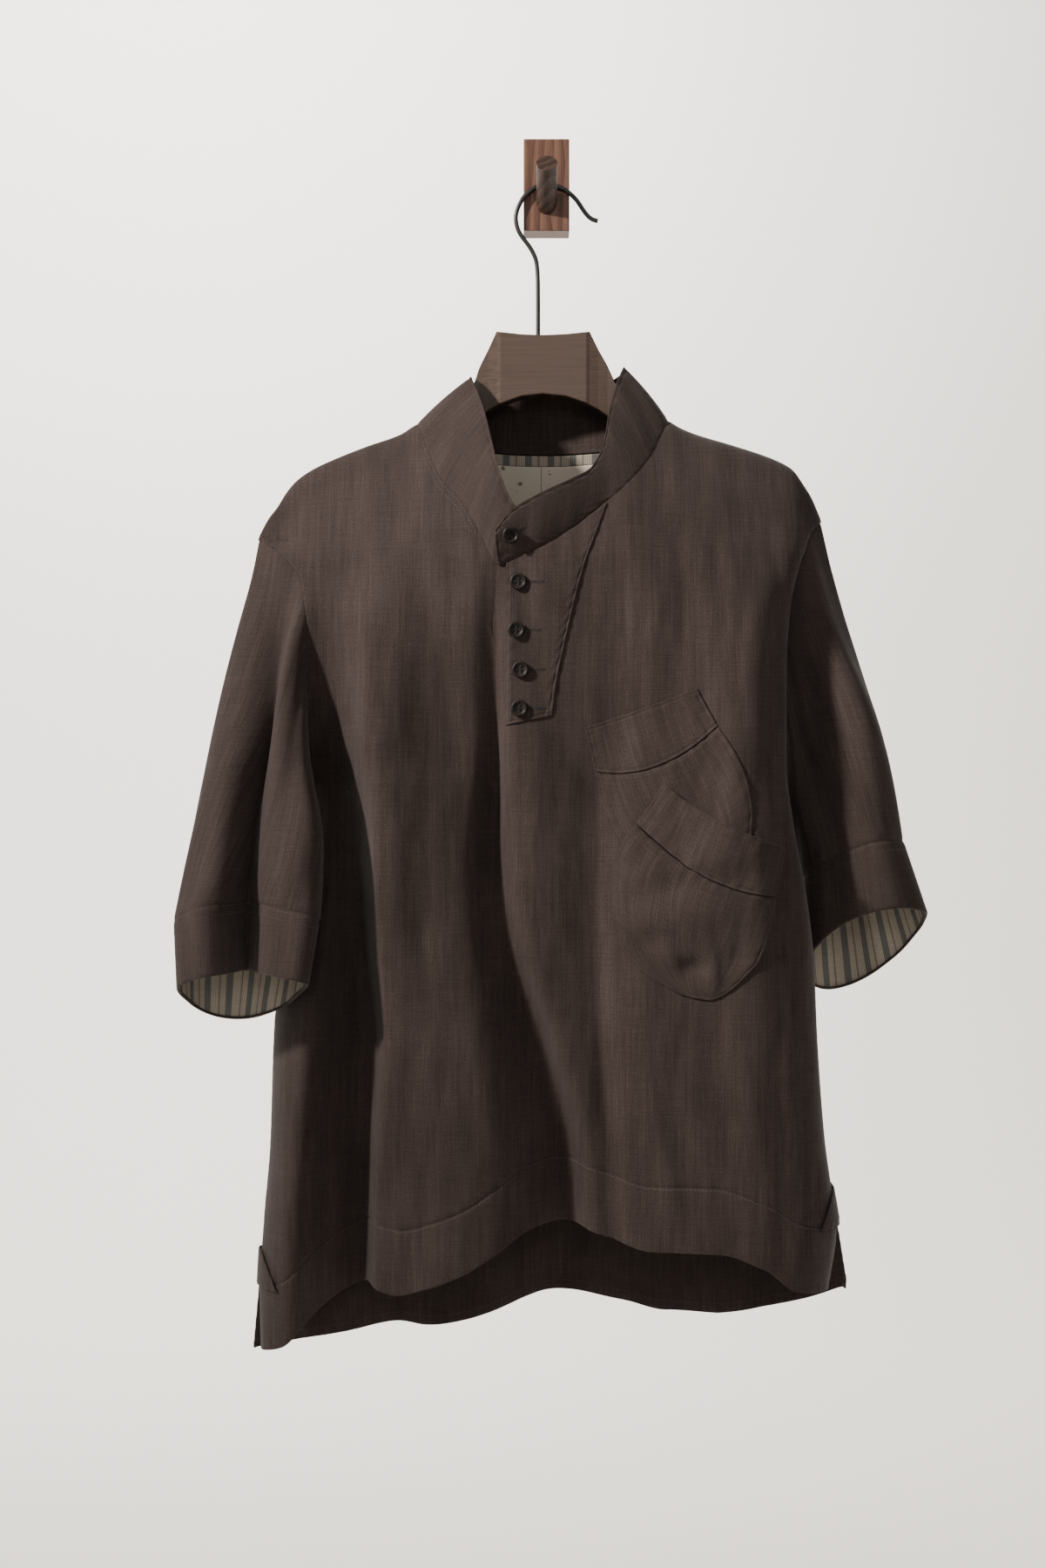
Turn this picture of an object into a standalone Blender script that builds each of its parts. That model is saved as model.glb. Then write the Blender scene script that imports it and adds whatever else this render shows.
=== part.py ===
"""A linen popover shirt with two chest pockets, on a wooden hanger hung from a wall peg.

Metres, +Z up. The wall is the plane y = 0 and the shirt hangs on its -Y side, facing -Y.
The origin is the middle of the wall plate's back face. The tables of the shirt and the
hanger are measured from SHIRT_DATUM, a point of the wall just under the plate.
Every cloth piece is a wall of even thickness around a middle surface.
"""
import math
from collections import namedtuple

import bmesh
import bpy
from mathutils import Vector

# ---------------------------------------------------------------- driving sizes
SHIRT_DATUM = Vector((-0.0014, 0.0, -0.033))
CLOTH = 0.0012           # thickness of the linen
LINING_CLOTH = 0.0010    # thickness of the cotton linings
SEAM_GAP = 0.0003        # between pieces that lie flat beside or on each other
FOLD_GAP = 0.0020        # between the middles of pieces that meet at a folded seam
ARMHOLE_GAP = 0.0022
COLLAR_GAP = 0.0016
RIDGE_Y = -0.042         # depth of the shoulder seams, over the hanger
LEFT_ROUNDNESS = 1.5     # powers of the body's rounded plan outline
RIGHT_ROUNDNESS = 2.3
SIDE_CLOSENESS = 0.6     # how much closer a panel's columns stand at its sides
HEM_BAND_HEIGHT = 0.054
CUFF_HEIGHT = 0.056
CUFF_LINING_SETBACK = 0.0008
CUFF_LINING_GAP = 0.0005
PLATE_SIZE = Vector((0.040, 0.028, 0.080))
PEG_RADIUS = 0.009
PEG_LENGTH = 0.045
PEG_SLOPE = math.radians(31)
PEG_FOOT_Z = -0.0154
HOOK_WIRE_RADIUS = 0.002
BUTTON_RADIUS = 0.0073
BUTTON_THICKNESS = 0.0032
BUTTON_SLACK = 0.0006    # thread length under a button
HOLE_RADIUS = 0.0009
HOLE_REACH = 0.0021      # from a button's middle to the middle of a hole

LINEN = (0.055, 0.043, 0.038)
TICKING = (0.48, 0.45, 0.39)
SAGE = (0.36, 0.37, 0.28)
CREAM = (0.60, 0.56, 0.47)
HORN = (0.02, 0.016, 0.013)
STAINED_WOOD = (0.13, 0.085, 0.06)
BLACK_STEEL = (0.02, 0.02, 0.02)
WALNUT = (0.16, 0.075, 0.045)

COLLECTION_NAME = "popover_shirt_on_hanger"

# ---------------------------------------------------------------- tables of the shirt
Ridge = namedtuple("Ridge", "x z")
RIDGE = [                # line of the shoulder seams, carried across the neck
    Ridge(-0.2480, -0.2785), Ridge(-0.2385, -0.2605), Ridge(-0.2305, -0.2500), Ridge(-0.2235, -0.2385),
    Ridge(-0.2153, -0.2285), Ridge(-0.2003, -0.2178), Ridge(-0.1852, -0.2105), Ridge(-0.1550, -0.1983),
    Ridge(-0.1250, -0.1876), Ridge(-0.1100, -0.1785), Ridge(-0.0600, -0.1640), Ridge(0.0000, -0.1600),
    Ridge(0.0600, -0.1635), Ridge(0.1060, -0.1758), Ridge(0.1160, -0.1815), Ridge(0.1310, -0.1876),
    Ridge(0.1610, -0.1966), Ridge(0.1914, -0.2066), Ridge(0.2065, -0.2133), Ridge(0.2140, -0.2185),
    Ridge(0.2215, -0.2290), Ridge(0.2291, -0.2410), Ridge(0.2385, -0.2630),
]

# Where the columns of a panel start: on the shoulder seams and on the neckline between.
Shoulder = namedtuple("Shoulder", "across x")
SHOULDERS = [
    Shoulder(0.00, -0.2480), Shoulder(0.04, -0.2305), Shoulder(0.08, -0.2080), Shoulder(0.14, -0.1720),
    Shoulder(0.20, -0.1370), Shoulder(0.25, -0.1100), Shoulder(0.75, 0.1060), Shoulder(0.80, 0.1310),
    Shoulder(0.86, 0.1640), Shoulder(0.92, 0.2065), Shoulder(0.96, 0.2255), Shoulder(1.00, 0.2385),
]
Neck = namedtuple("Neck", "across x z")
FRONT_NECK = [
    Neck(0.250, -0.1100, -0.1785), Neck(0.290, -0.099, -0.207), Neck(0.330, -0.088, -0.231),
    Neck(0.370, -0.0740, -0.2470), Neck(0.410, -0.058, -0.274), Neck(0.430, -0.0497, -0.2905),
    Neck(0.445, -0.0436, -0.3029), Neck(0.450, -0.0415, -0.3070), Neck(0.455, -0.0391, -0.3063),
    Neck(0.485, -0.0250, -0.2990), Neck(0.530, -0.002, -0.290), Neck(0.580, 0.022, -0.275),
    Neck(0.630, 0.0470, -0.2556), Neck(0.670, 0.068, -0.237), Neck(0.710, 0.088, -0.213),
    Neck(0.750, 0.1060, -0.1758),
]
BACK_NECK = [
    Neck(0.250, -0.110, -0.1785), Neck(0.300, -0.092, -0.188), Neck(0.370, -0.060, -0.197),
    Neck(0.500, -0.002, -0.2000), Neck(0.630, 0.056, -0.197), Neck(0.700, 0.088, -0.188),
    Neck(0.750, 0.106, -0.1758),
]

Hem = namedtuple("Hem", "across z")
FRONT_HEM = [
    Hem(0.00, -0.973), Hem(0.05, -0.962), Hem(0.10, -0.938), Hem(0.155, -0.920),
    Hem(0.21, -0.911), Hem(0.25, -0.914), Hem(0.30, -0.907), Hem(0.36, -0.895),
    Hem(0.42, -0.876), Hem(0.47, -0.861), Hem(0.52, -0.856), Hem(0.60, -0.865),
    Hem(0.68, -0.875), Hem(0.78, -0.875), Hem(0.87, -0.888), Hem(0.93, -0.907),
    Hem(1.00, -0.913),
]
BACK_HEM = [
    Hem(0.00, -0.978), Hem(0.10, -0.970), Hem(0.24, -0.958), Hem(0.29, -0.962),
    Hem(0.42, -0.945), Hem(0.51, -0.932), Hem(0.62, -0.939), Hem(0.70, -0.950),
    Hem(0.82, -0.950), Hem(0.90, -0.943), Hem(0.96, -0.934), Hem(1.00, -0.924),
]

# Armhole, underarm and side seam on each side, from the shoulder tip to the hem.
Edge = namedtuple("Edge", "z front_x back_x front_y back_y")
LEFT_EDGE = [
    Edge(-0.2785, -0.2480, -0.2480, -0.045, -0.045), Edge(-0.283, -0.2375, -0.2375, -0.054, -0.037),
    Edge(-0.292, -0.2265, -0.2265, -0.063, -0.033), Edge(-0.316, -0.208, -0.208, -0.073, -0.026),
    Edge(-0.348, -0.204, -0.204, -0.079, -0.021), Edge(-0.403, -0.2035, -0.2035, -0.077, -0.020),
    Edge(-0.450, -0.2045, -0.2045, -0.062, -0.026), Edge(-0.478, -0.2046, -0.2046, -0.042, -0.042),
    Edge(-0.520, -0.2000, -0.2000, -0.031, -0.031), Edge(-0.605, -0.2165, -0.2165, -0.030, -0.030),
    Edge(-0.695, -0.2345, -0.2345, -0.035, -0.035), Edge(-0.800, -0.2375, -0.2375, -0.041, -0.041),
    Edge(-0.862, -0.2425, -0.2425, -0.044, -0.044), Edge(-0.920, -0.246, -0.246, -0.048, -0.046),
    Edge(-0.975, -0.247, -0.2505, -0.056, -0.036),
]
RIGHT_EDGE = [
    Edge(-0.263, 0.2385, 0.2385, -0.045, -0.045), Edge(-0.274, 0.228, 0.228, -0.056, -0.036),
    Edge(-0.290, 0.222, 0.222, -0.064, -0.032), Edge(-0.302, 0.217, 0.217, -0.068, -0.030),
    Edge(-0.341, 0.2075, 0.2075, -0.072, -0.026), Edge(-0.393, 0.2035, 0.2035, -0.072, -0.026),
    Edge(-0.445, 0.203, 0.203, -0.071, -0.045), Edge(-0.4775, 0.2035, 0.2035, -0.066, -0.066),
    Edge(-0.523, 0.2085, 0.2085, -0.073, -0.073), Edge(-0.5815, 0.219, 0.219, -0.077, -0.077),
    Edge(-0.6335, 0.2255, 0.2255, -0.074, -0.074), Edge(-0.7128, 0.2298, 0.2298, -0.068, -0.068),
    Edge(-0.7874, 0.2358, 0.2358, -0.064, -0.064), Edge(-0.8247, 0.2410, 0.2410, -0.062, -0.062),
    Edge(-0.862, 0.2495, 0.2495, -0.060, -0.058), Edge(-0.915, 0.2435, 0.2575, -0.066, -0.048),
]
LEFT_UNDERARM_Z = -0.478
RIGHT_UNDERARM_Z = -0.4775

# How far each panel stands off the ridge line, by its drop below it.
Hang = namedtuple("Hang", "drop front back")
HANG = [
    Hang(0.000, 0.000, 0.000), Hang(0.0015, 0.0075, 0.0065), Hang(0.005, 0.0135, 0.0115),
    Hang(0.012, 0.0195, 0.0165), Hang(0.025, 0.0265, 0.021), Hang(0.050, 0.042, 0.025),
    Hang(0.080, 0.056, 0.027), Hang(0.120, 0.068, 0.028), Hang(0.180, 0.078, 0.0285),
    Hang(0.280, 0.085, 0.029), Hang(0.450, 0.092, 0.030), Hang(0.620, 0.100, 0.031),
    Hang(0.800, 0.108, 0.031),
]

# Soft folds: they fade in below the top point and run on through the bottom point.
Fold = namedtuple("Fold", "top_x top_z bottom_x bottom_z half_width forward")
FRONT_FOLDS = [
    Fold(-0.165, -0.40, -0.172, -0.98, 0.026, -0.014),
    Fold(-0.105, -0.33, -0.112, -0.98, 0.038, 0.014),
    Fold(-0.020, -0.44, 0.012, -0.98, 0.036, -0.030),
    Fold(0.088, -0.60, 0.110, -0.98, 0.044, 0.012),
    Fold(0.180, -0.55, 0.190, -0.98, 0.024, -0.008),
]
BACK_FOLDS = [
    Fold(-0.150, -0.36, -0.165, -0.98, 0.028, 0.010),
    Fold(-0.060, -0.42, -0.050, -0.98, 0.034, 0.016),
    Fold(0.050, -0.34, 0.060, -0.98, 0.030, 0.011),
    Fold(0.140, -0.44, 0.150, -0.98, 0.028, 0.013),
]
FOLD_FADE_IN = 0.16

# Collar: its seam runs along the front neckline, the back neckline and the front again.
Collar = namedtuple("Collar", "along seam top_x top_y top_z")
COLLAR_LEFT_FRONT = [
    Collar(0.00, 0.449, -0.018, -0.110, -0.264), Collar(0.05, 0.434, -0.027, -0.107, -0.2545),
    Collar(0.12, 0.407, -0.041, -0.098, -0.220), Collar(0.17, 0.370, -0.046, -0.086, -0.198),
    Collar(0.22, 0.315, -0.0525, -0.068, -0.168), Collar(0.27, 0.250, -0.0630, -0.048, -0.138),
]
COLLAR_BACK = [
    Collar(0.27, 0.250, -0.0630, -0.048, -0.138), Collar(0.31, 0.300, -0.0650, -0.026, -0.137),
    Collar(0.35, 0.370, -0.0500, -0.013, -0.141), Collar(0.41, 0.500, -0.0020, -0.008, -0.146),
    Collar(0.47, 0.630, 0.0460, -0.013, -0.140), Collar(0.51, 0.700, 0.0660, -0.026, -0.132),
    Collar(0.55, 0.750, 0.0680, -0.048, -0.130),
]
COLLAR_RIGHT_FRONT = [
    Collar(0.55, 0.750, 0.0680, -0.048, -0.130), Collar(0.60, 0.715, 0.0605, -0.064, -0.148),
    Collar(0.65, 0.680, 0.0535, -0.076, -0.172), Collar(0.70, 0.645, 0.0485, -0.090, -0.202),
    Collar(0.76, 0.605, 0.0380, -0.102, -0.224), Collar(0.82, 0.565, 0.0210, -0.111, -0.2345),
    Collar(0.90, 0.515, -0.0050, -0.1185, -0.2475), Collar(0.96, 0.479, -0.0290, -0.1225, -0.262),
    Collar(1.00, 0.455, -0.0425, -0.1235, -0.279),
]
COLLAR_OVERLAP = 0.0030  # the right end stands this far in front of the left one
COLLAR_OVERLAP_START = 0.86
COLLAR_OVERLAP_FULL = 0.97
COLLAR_SWELL = 0.0025    # how far the band bows out between its edges
COLLAR_BUTTON = (0.962, 0.50)  # along the collar and up it
NECK_MIDDLE = Vector((-0.002, -0.050, 0.0))

# Back-neck lining: a striped strip along the neckline over two panels side by side.
NECK_LINING_LEFT = -0.080
NECK_LINING_RIGHT = 0.076
NECK_LINING_SEAM_X = -0.003
NECK_LINING_BOTTOM = -0.305
NECK_STRIP_DROP = 0.002   # below the neckline
NECK_STRIP_HEIGHT = 0.009
NECK_LINING_GAP = 0.0007

# Side gussets: half a width round the side seam on the front and on the back.
Gusset = namedtuple("Gusset", "down front_reach back_reach")
GUSSET = [Gusset(0.0, 0.006, 0.003), Gusset(0.6, 0.018, 0.012), Gusset(1.0, 0.024, 0.018)]
GUSSET_LIFT = CLOTH + 0.0014  # clear of the corner that the two panels make at the side
LEFT_GUSSET_Z = (-0.888, -0.918)
RIGHT_GUSSET_Z = (-0.830, -0.860)

# Bib placket, on the front: its curved right edge and its straight left edge.
Bib = namedtuple("Bib", "z x")
BIB_RIGHT = [
    Bib(-0.264, 0.051), Bib(-0.279, 0.043), Bib(-0.303, 0.032), Bib(-0.327, 0.025),
    Bib(-0.349, 0.020), Bib(-0.377, 0.014), Bib(-0.407, 0.008), Bib(-0.432, 0.005),
]
BIB_LEFT_X = -0.033
BIB_LEFT_TOP = -0.3045
BIB_LEFT_BOTTOM = -0.440

Button = namedtuple("Button", "x z")
PLACKET_BUTTONS = [
    Button(-0.023, -0.321), Button(-0.025, -0.361), Button(-0.021, -0.394), Button(-0.022, -0.426),
]

# Pockets: each row is a line across the pocket, bowed down in its middle.
Chord = namedtuple("Chord", "down left_x left_z right_x right_z bow")
UPPER_BAND = [
    Chord(0.0, 0.032, -0.442, 0.125, -0.410, 0.001), Chord(1.0, 0.041, -0.478, 0.142, -0.441, 0.015),
]
UPPER_BAG = [
    Chord(0.00, 0.041, -0.478, 0.142, -0.441, 0.015), Chord(0.25, 0.046, -0.500, 0.156, -0.463, 0.012),
    Chord(0.55, 0.056, -0.524, 0.167, -0.492, 0.010), Chord(0.80, 0.068, -0.543, 0.170, -0.515, 0.008),
    Chord(1.00, 0.080, -0.556, 0.168, -0.538, 0.006),
]
LOWER_BAND = [
    Chord(0.0, 0.098, -0.489, 0.198, -0.542, 0.007), Chord(1.0, 0.075, -0.521, 0.189, -0.582, 0.014),
]
LOWER_BAG = [
    Chord(0.00, 0.075, -0.521, 0.189, -0.582, 0.014), Chord(0.20, 0.060, -0.548, 0.187, -0.598, 0.012),
    Chord(0.45, 0.056, -0.585, 0.182, -0.615, 0.009), Chord(0.65, 0.059, -0.614, 0.175, -0.634, 0.007),
    Chord(0.82, 0.074, -0.637, 0.163, -0.648, 0.005), Chord(0.93, 0.092, -0.652, 0.150, -0.660, 0.003),
    Chord(1.00, 0.110, -0.662, 0.137, -0.667, 0.001),
]
POCKET_LIFT = CLOTH + 0.0010
POCKET_SEAM = 0.008      # share of a bag left open under its band
UPPER_PUFF = 0.0015      # how far a pocket's middle stands off the shirt
LOWER_PUFF = 0.0045
UPPER_BAG_EDGE = 0.006   # the lower pocket rises over the upper one within this distance

# Sleeve rings: the four outermost points of a level of the sleeve.
Ring = namedtuple("Ring", "outer front inner rear")
LEFT_CUFF_TOP = Ring((-0.309, -0.095, -0.608), (-0.256, -0.142, -0.587),
                     (-0.197, -0.106, -0.607), (-0.257, -0.058, -0.633))
LEFT_CUFF_END = Ring((-0.306, -0.100, -0.663), (-0.256, -0.146, -0.645),
                     (-0.206, -0.110, -0.660), (-0.262, -0.057, -0.690))
RIGHT_CUFF_TOP = Ring((0.302, -0.050, -0.544), (0.257, -0.088, -0.545),
                      (0.2190, -0.038, -0.578), (0.262, -0.009, -0.592))
RIGHT_CUFF_END = Ring((0.324, -0.048, -0.608), (0.264, -0.090, -0.601),
                      (0.2235, -0.040, -0.648), (0.270, -0.009, -0.665))

# Creases of a sleeve: around = 0 outer, 0.25 front, 0.5 inner, 0.75 rear.
Crease = namedtuple("Crease", "around half_width halfway cuff")
LEFT_CREASES = [
    Crease(0.00, 0.12, -0.010, 0.000), Crease(0.31, 0.035, 0.010, 0.012),
    Crease(0.42, 0.07, -0.008, -0.003), Crease(0.68, 0.050, 0.006, 0.008),
]
RIGHT_CREASES = [
    Crease(0.00, 0.12, -0.006, 0.000), Crease(0.16, 0.040, 0.005, 0.006),
    Crease(0.36, 0.05, 0.005, 0.005), Crease(0.84, 0.050, 0.006, 0.006),
]

# Hanger: one cross-section per row, from its left end to its right end.
Wood = namedtuple("Wood", "x top bottom y half_depth round")
HANGER = [
    Wood(-0.2070, -0.2360, -0.2500, -0.0435, 0.0035, 0.0030),
    Wood(-0.2030, -0.2280, -0.2550, -0.0435, 0.0058, 0.0050),
    Wood(-0.1880, -0.2175, -0.2520, -0.0433, 0.0068, 0.0060),
    Wood(-0.1600, -0.2050, -0.2430, -0.0430, 0.0085, 0.0070),
    Wood(-0.1300, -0.1930, -0.2310, -0.0420, 0.0085, 0.0070),
    Wood(-0.1080, -0.1840, -0.2180, -0.0400, 0.0085, 0.0070),
    Wood(-0.0850, -0.1720, -0.2010, -0.0380, 0.0080, 0.0050),
    Wood(-0.0720, -0.1600, -0.1870, -0.0370, 0.0070, 0.0040),
    Wood(-0.0620, -0.1440, -0.1755, -0.0360, 0.0060, 0.0020),
    Wood(-0.0570, -0.1290, -0.1715, -0.0355, 0.0065, 0.0010),
    Wood(-0.0490, -0.1130, -0.1660, -0.0350, 0.0078, 0.0010),
    Wood(-0.0420, -0.0980, -0.1620, -0.0350, 0.0090, 0.0010),
    Wood(-0.0385, -0.0984, -0.1605, -0.0350, 0.0098, 0.0010),
    Wood(-0.0200, -0.1005, -0.1540, -0.0350, 0.0100, 0.0010),
    Wood(-0.0020, -0.1012, -0.1520, -0.0350, 0.0100, 0.0010),
    Wood(0.0180, -0.1003, -0.1540, -0.0350, 0.0100, 0.0010),
    Wood(0.0355, -0.0984, -0.1600, -0.0350, 0.0098, 0.0010),
    Wood(0.0385, -0.0980, -0.1615, -0.0350, 0.0090, 0.0010),
    Wood(0.0460, -0.1130, -0.1650, -0.0350, 0.0078, 0.0010),
    Wood(0.0540, -0.1270, -0.1700, -0.0355, 0.0065, 0.0010),
    Wood(0.0600, -0.1400, -0.1745, -0.0360, 0.0060, 0.0020),
    Wood(0.0700, -0.1550, -0.1850, -0.0370, 0.0070, 0.0040),
    Wood(0.0830, -0.1680, -0.1980, -0.0380, 0.0080, 0.0050),
    Wood(0.1050, -0.1830, -0.2150, -0.0400, 0.0085, 0.0070),
    Wood(0.1300, -0.1925, -0.2290, -0.0420, 0.0085, 0.0070),
    Wood(0.1600, -0.2020, -0.2390, -0.0430, 0.0085, 0.0070),
    Wood(0.1900, -0.2120, -0.2460, -0.0430, 0.0080, 0.0065),
    Wood(0.2010, -0.2180, -0.2480, -0.0430, 0.0070, 0.0060),
    Wood(0.2050, -0.2260, -0.2430, -0.0430, 0.0040, 0.0035),
]
SECTION_CORNER_STEPS = 3

# Hook wire, from the end of its open arm over the peg and down into the hanger.
Wire = namedtuple("Wire", "x z")
HOOK = [
    Wire(0.046, 0.0005), Wire(0.0395, 0.0025), Wire(0.034, 0.009), Wire(0.0275, 0.0195),
    Wire(0.0195, 0.0268), Wire(0.011, 0.0311), Wire(0.0015, 0.0325), Wire(-0.008, 0.0307),
    Wire(-0.019, 0.0222), Wire(-0.0265, 0.006), Wire(-0.0235, -0.009), Wire(-0.0135, -0.021),
    Wire(-0.0075, -0.032), Wire(-0.0062, -0.045), Wire(-0.006, -0.060), Wire(-0.006, -0.1005),
]
HOOK_Y = -0.0306
HOOK_STEPS = 2


# ---------------------------------------------------------------- reading the tables
def track(rows, key, column, at):
    """Smooth value of one column at a place along the key column, with no overshoot."""
    keys = [getattr(row, key) for row in rows]
    values = [getattr(row, column) for row in rows]
    if keys[0] > keys[-1]:
        keys.reverse()
        values.reverse()
    if at <= keys[0]:
        return values[0]
    if at >= keys[-1]:
        return values[-1]
    i = max(n for n in range(len(keys) - 1) if keys[n] <= at)
    steps = [keys[n + 1] - keys[n] for n in range(len(keys) - 1)]
    rises = [(values[n + 1] - values[n]) / steps[n] for n in range(len(steps))]

    def slope(n):
        if n == 0:
            return rises[0]
        if n == len(steps):
            return rises[-1]
        if rises[n - 1] * rises[n] <= 0:
            return 0.0
        return 2 * rises[n - 1] * rises[n] / (rises[n - 1] + rises[n])

    t = (at - keys[i]) / steps[i]
    start, end = slope(i) * steps[i], slope(i + 1) * steps[i]
    return ((2 * t**3 - 3 * t**2 + 1) * values[i] + (t**3 - 2 * t**2 + t) * start
            + (3 * t**2 - 2 * t**3) * values[i + 1] + (t**3 - t**2) * end)


def mix(a, b, share):
    return a + (b - a) * share


def ease(value, start, end):
    """0 before start, 1 after end, smooth between."""
    t = min(1.0, max(0.0, (value - start) / (end - start)))
    return t * t * (3 - 2 * t)


# ---------------------------------------------------------------- surfaces of the shirt
def fold_depth(folds, x, z):
    total = 0.0
    for fold in folds:
        share = (fold.top_z - z) / (fold.top_z - fold.bottom_z)
        middle = mix(fold.top_x, fold.bottom_x, share)
        strength = ease(fold.top_z - z, 0.0, FOLD_FADE_IN)
        total += fold.forward * strength * math.exp(-((x - middle) / fold.half_width) ** 2)
    return total


def panel_depth(side, x, z):
    """The y of the front or the back panel's middle surface at a place seen from the front."""
    left_x = track(LEFT_EDGE, "z", side + "_x", z)
    right_x = track(RIGHT_EDGE, "z", side + "_x", z)
    across = min(1.0, max(0.0, (x - left_x) / (right_x - left_x)))
    power = LEFT_ROUNDNESS if across < 0.5 else RIGHT_ROUNDNESS
    rounded = (1 - abs(2 * across - 1) ** power) ** (1 / power)
    edge_y = mix(track(LEFT_EDGE, "z", side + "_y", z), track(RIGHT_EDGE, "z", side + "_y", z), across)
    drop = track(RIDGE, "x", "z", x) - z
    stand_off = track(HANG, "drop", side, drop)
    if side == "front":
        middle_y = RIDGE_Y - stand_off
        seam = -FOLD_GAP / 2
        folds = -fold_depth(FRONT_FOLDS, x, z)
    else:
        middle_y = RIDGE_Y + stand_off
        seam = FOLD_GAP / 2
        folds = -fold_depth(BACK_FOLDS, x, z)
    return mix(edge_y, middle_y, rounded) + seam + folds * rounded


def column_share(across):
    """Share of the width at a column: the columns stand closer at the sides."""
    return across - SIDE_CLOSENESS * math.sin(2 * math.pi * across) / (2 * math.pi)


def panel_top(side, across):
    """Where a column starts, on a shoulder seam or on the neckline."""
    if FRONT_NECK[0].across < across < FRONT_NECK[-1].across:
        rows = FRONT_NECK if side == "front" else BACK_NECK
        return track(rows, "across", "x", across), track(rows, "across", "z", across)
    x = track(SHOULDERS, "across", "x", across)
    return x, track(RIDGE, "x", "z", x)


def panel_point(side, across, down):
    share = column_share(across)
    top_x, top_z = panel_top(side, across)
    hem_z = track(FRONT_HEM if side == "front" else BACK_HEM, "across", "z", share)
    z = mix(top_z, hem_z, down)

    def spread(level):
        return mix(track(LEFT_EDGE, "z", side + "_x", level),
                   track(RIGHT_EDGE, "z", side + "_x", level), share)

    x = spread(z) + (top_x - spread(top_z)) * (1 - down) ** 5
    return Vector((x, panel_depth(side, x, z), z))


def row_share(down):
    """Share of the length at a row: the rows stand closer at the shoulders."""
    return down * down * (2 - down)


def band_line(across):
    """How far down the front its hem band starts."""
    top_z = panel_top("front", across)[1]
    hem_z = track(FRONT_HEM, "across", "z", column_share(across))
    return (top_z - hem_z - HEM_BAND_HEIGHT) / (top_z - hem_z)


def front_piece(across, down):
    stop = band_line(across) - SEAM_GAP / 2
    return panel_point("front", across, stop * row_share(down))


def hem_band_piece(across, down):
    start = band_line(across) + SEAM_GAP / 2
    return panel_point("front", across, mix(start, 1.0, down))


def back_piece(across, down):
    return panel_point("back", across, row_share(down))


def off_panel(side, x, z, lift):
    """A point moved forward from a panel, square to it."""
    step = 0.002
    here = panel_depth(side, x, z)
    slope_x = (panel_depth(side, x + step, z) - here) / step
    slope_z = (panel_depth(side, x, z - step) - here) / -step
    forward = Vector((slope_x, -1.0, slope_z)).normalized()
    return Vector((x, here, z)) + forward * lift


def armhole_point(rows, underarm_z, around):
    """Round the armhole: 0 shoulder tip, 0.25 front, 0.5 underarm, 0.75 back."""
    side = "front" if around <= 0.5 else "back"
    share = (2 * around if around <= 0.5 else 2 * (1 - around)) ** 1.3
    z = mix(rows[0].z, underarm_z, share)
    seam = FOLD_GAP / 2 if side == "back" else -FOLD_GAP / 2
    seam *= min(1.0, 12 * min(share, 1 - share))
    return Vector((track(rows, "z", side + "_x", z), track(rows, "z", side + "_y", z) + seam, z))


def ring_point(ring, around):
    outer, front, inner, rear = (Vector(point) for point in ring)
    angle = 2 * math.pi * around
    middle = (outer + front + inner + rear) / 4
    twist = (outer + inner - front - rear) / 4
    return (middle + (outer - inner) / 2 * math.cos(angle) + (front - rear) / 2 * math.sin(angle)
            + twist * math.cos(2 * angle))


def pressed(point, ring, around, creases, down):
    """Move a point of a sleeve towards its middle where a crease runs; the cuff is at down = 1."""
    middle = sum((Vector(corner) for corner in ring), Vector()) / 4
    inward = middle - ring_point(ring, around)
    inward.z = 0.0
    inward.normalize()
    for crease in creases:
        apart = (around - crease.around + 0.5) % 1.0 - 0.5
        push = mix(crease.halfway, crease.cuff, ease(down, 0.5, 1.0)) * ease(down, 0.1, 0.5)
        point = point + inward * (push * math.exp(-((apart / crease.half_width) ** 2)))
    return point


def sleeve_point(rows, underarm_z, ring, creases, around, down):
    start = armhole_point(rows, underarm_z, around)
    start.x += math.copysign(ARMHOLE_GAP, start.x)
    end = ring_point(ring, around)
    share = down * (1 - SEAM_GAP / (end - start).length)
    return pressed(start.lerp(end, share), ring, around, creases, down)


def cuff_point(top_ring, end_ring, creases, around, down):
    point = ring_point(top_ring, around).lerp(ring_point(end_ring, around), down)
    ring = Ring(*(tuple(Vector(a).lerp(Vector(b), down)) for a, b in zip(top_ring, end_ring)))
    return pressed(point, ring, around, creases, 1.0)


def collar_point(along, up):
    if along <= COLLAR_BACK[0].along:
        rows, side = COLLAR_LEFT_FRONT, "front"
    elif along < COLLAR_BACK[-1].along:
        rows, side = COLLAR_BACK, "back"
    else:
        rows, side = COLLAR_RIGHT_FRONT, "front"
    base = panel_point(side, track(rows, "along", "seam", along), 0.0)
    base.y += -ease(along, COLLAR_OVERLAP_START, COLLAR_OVERLAP_FULL) * COLLAR_OVERLAP
    top = Vector((track(rows, "along", "top_x", along), track(rows, "along", "top_y", along),
                  track(rows, "along", "top_z", along)))
    share = mix(COLLAR_GAP / (top - base).length, 1.0, up)
    outward = Vector((base.x + top.x, base.y + top.y, 0.0)) / 2 - NECK_MIDDLE
    return base.lerp(top, share) + outward.normalized() * (COLLAR_SWELL * 4 * share * (1 - share))


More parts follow.
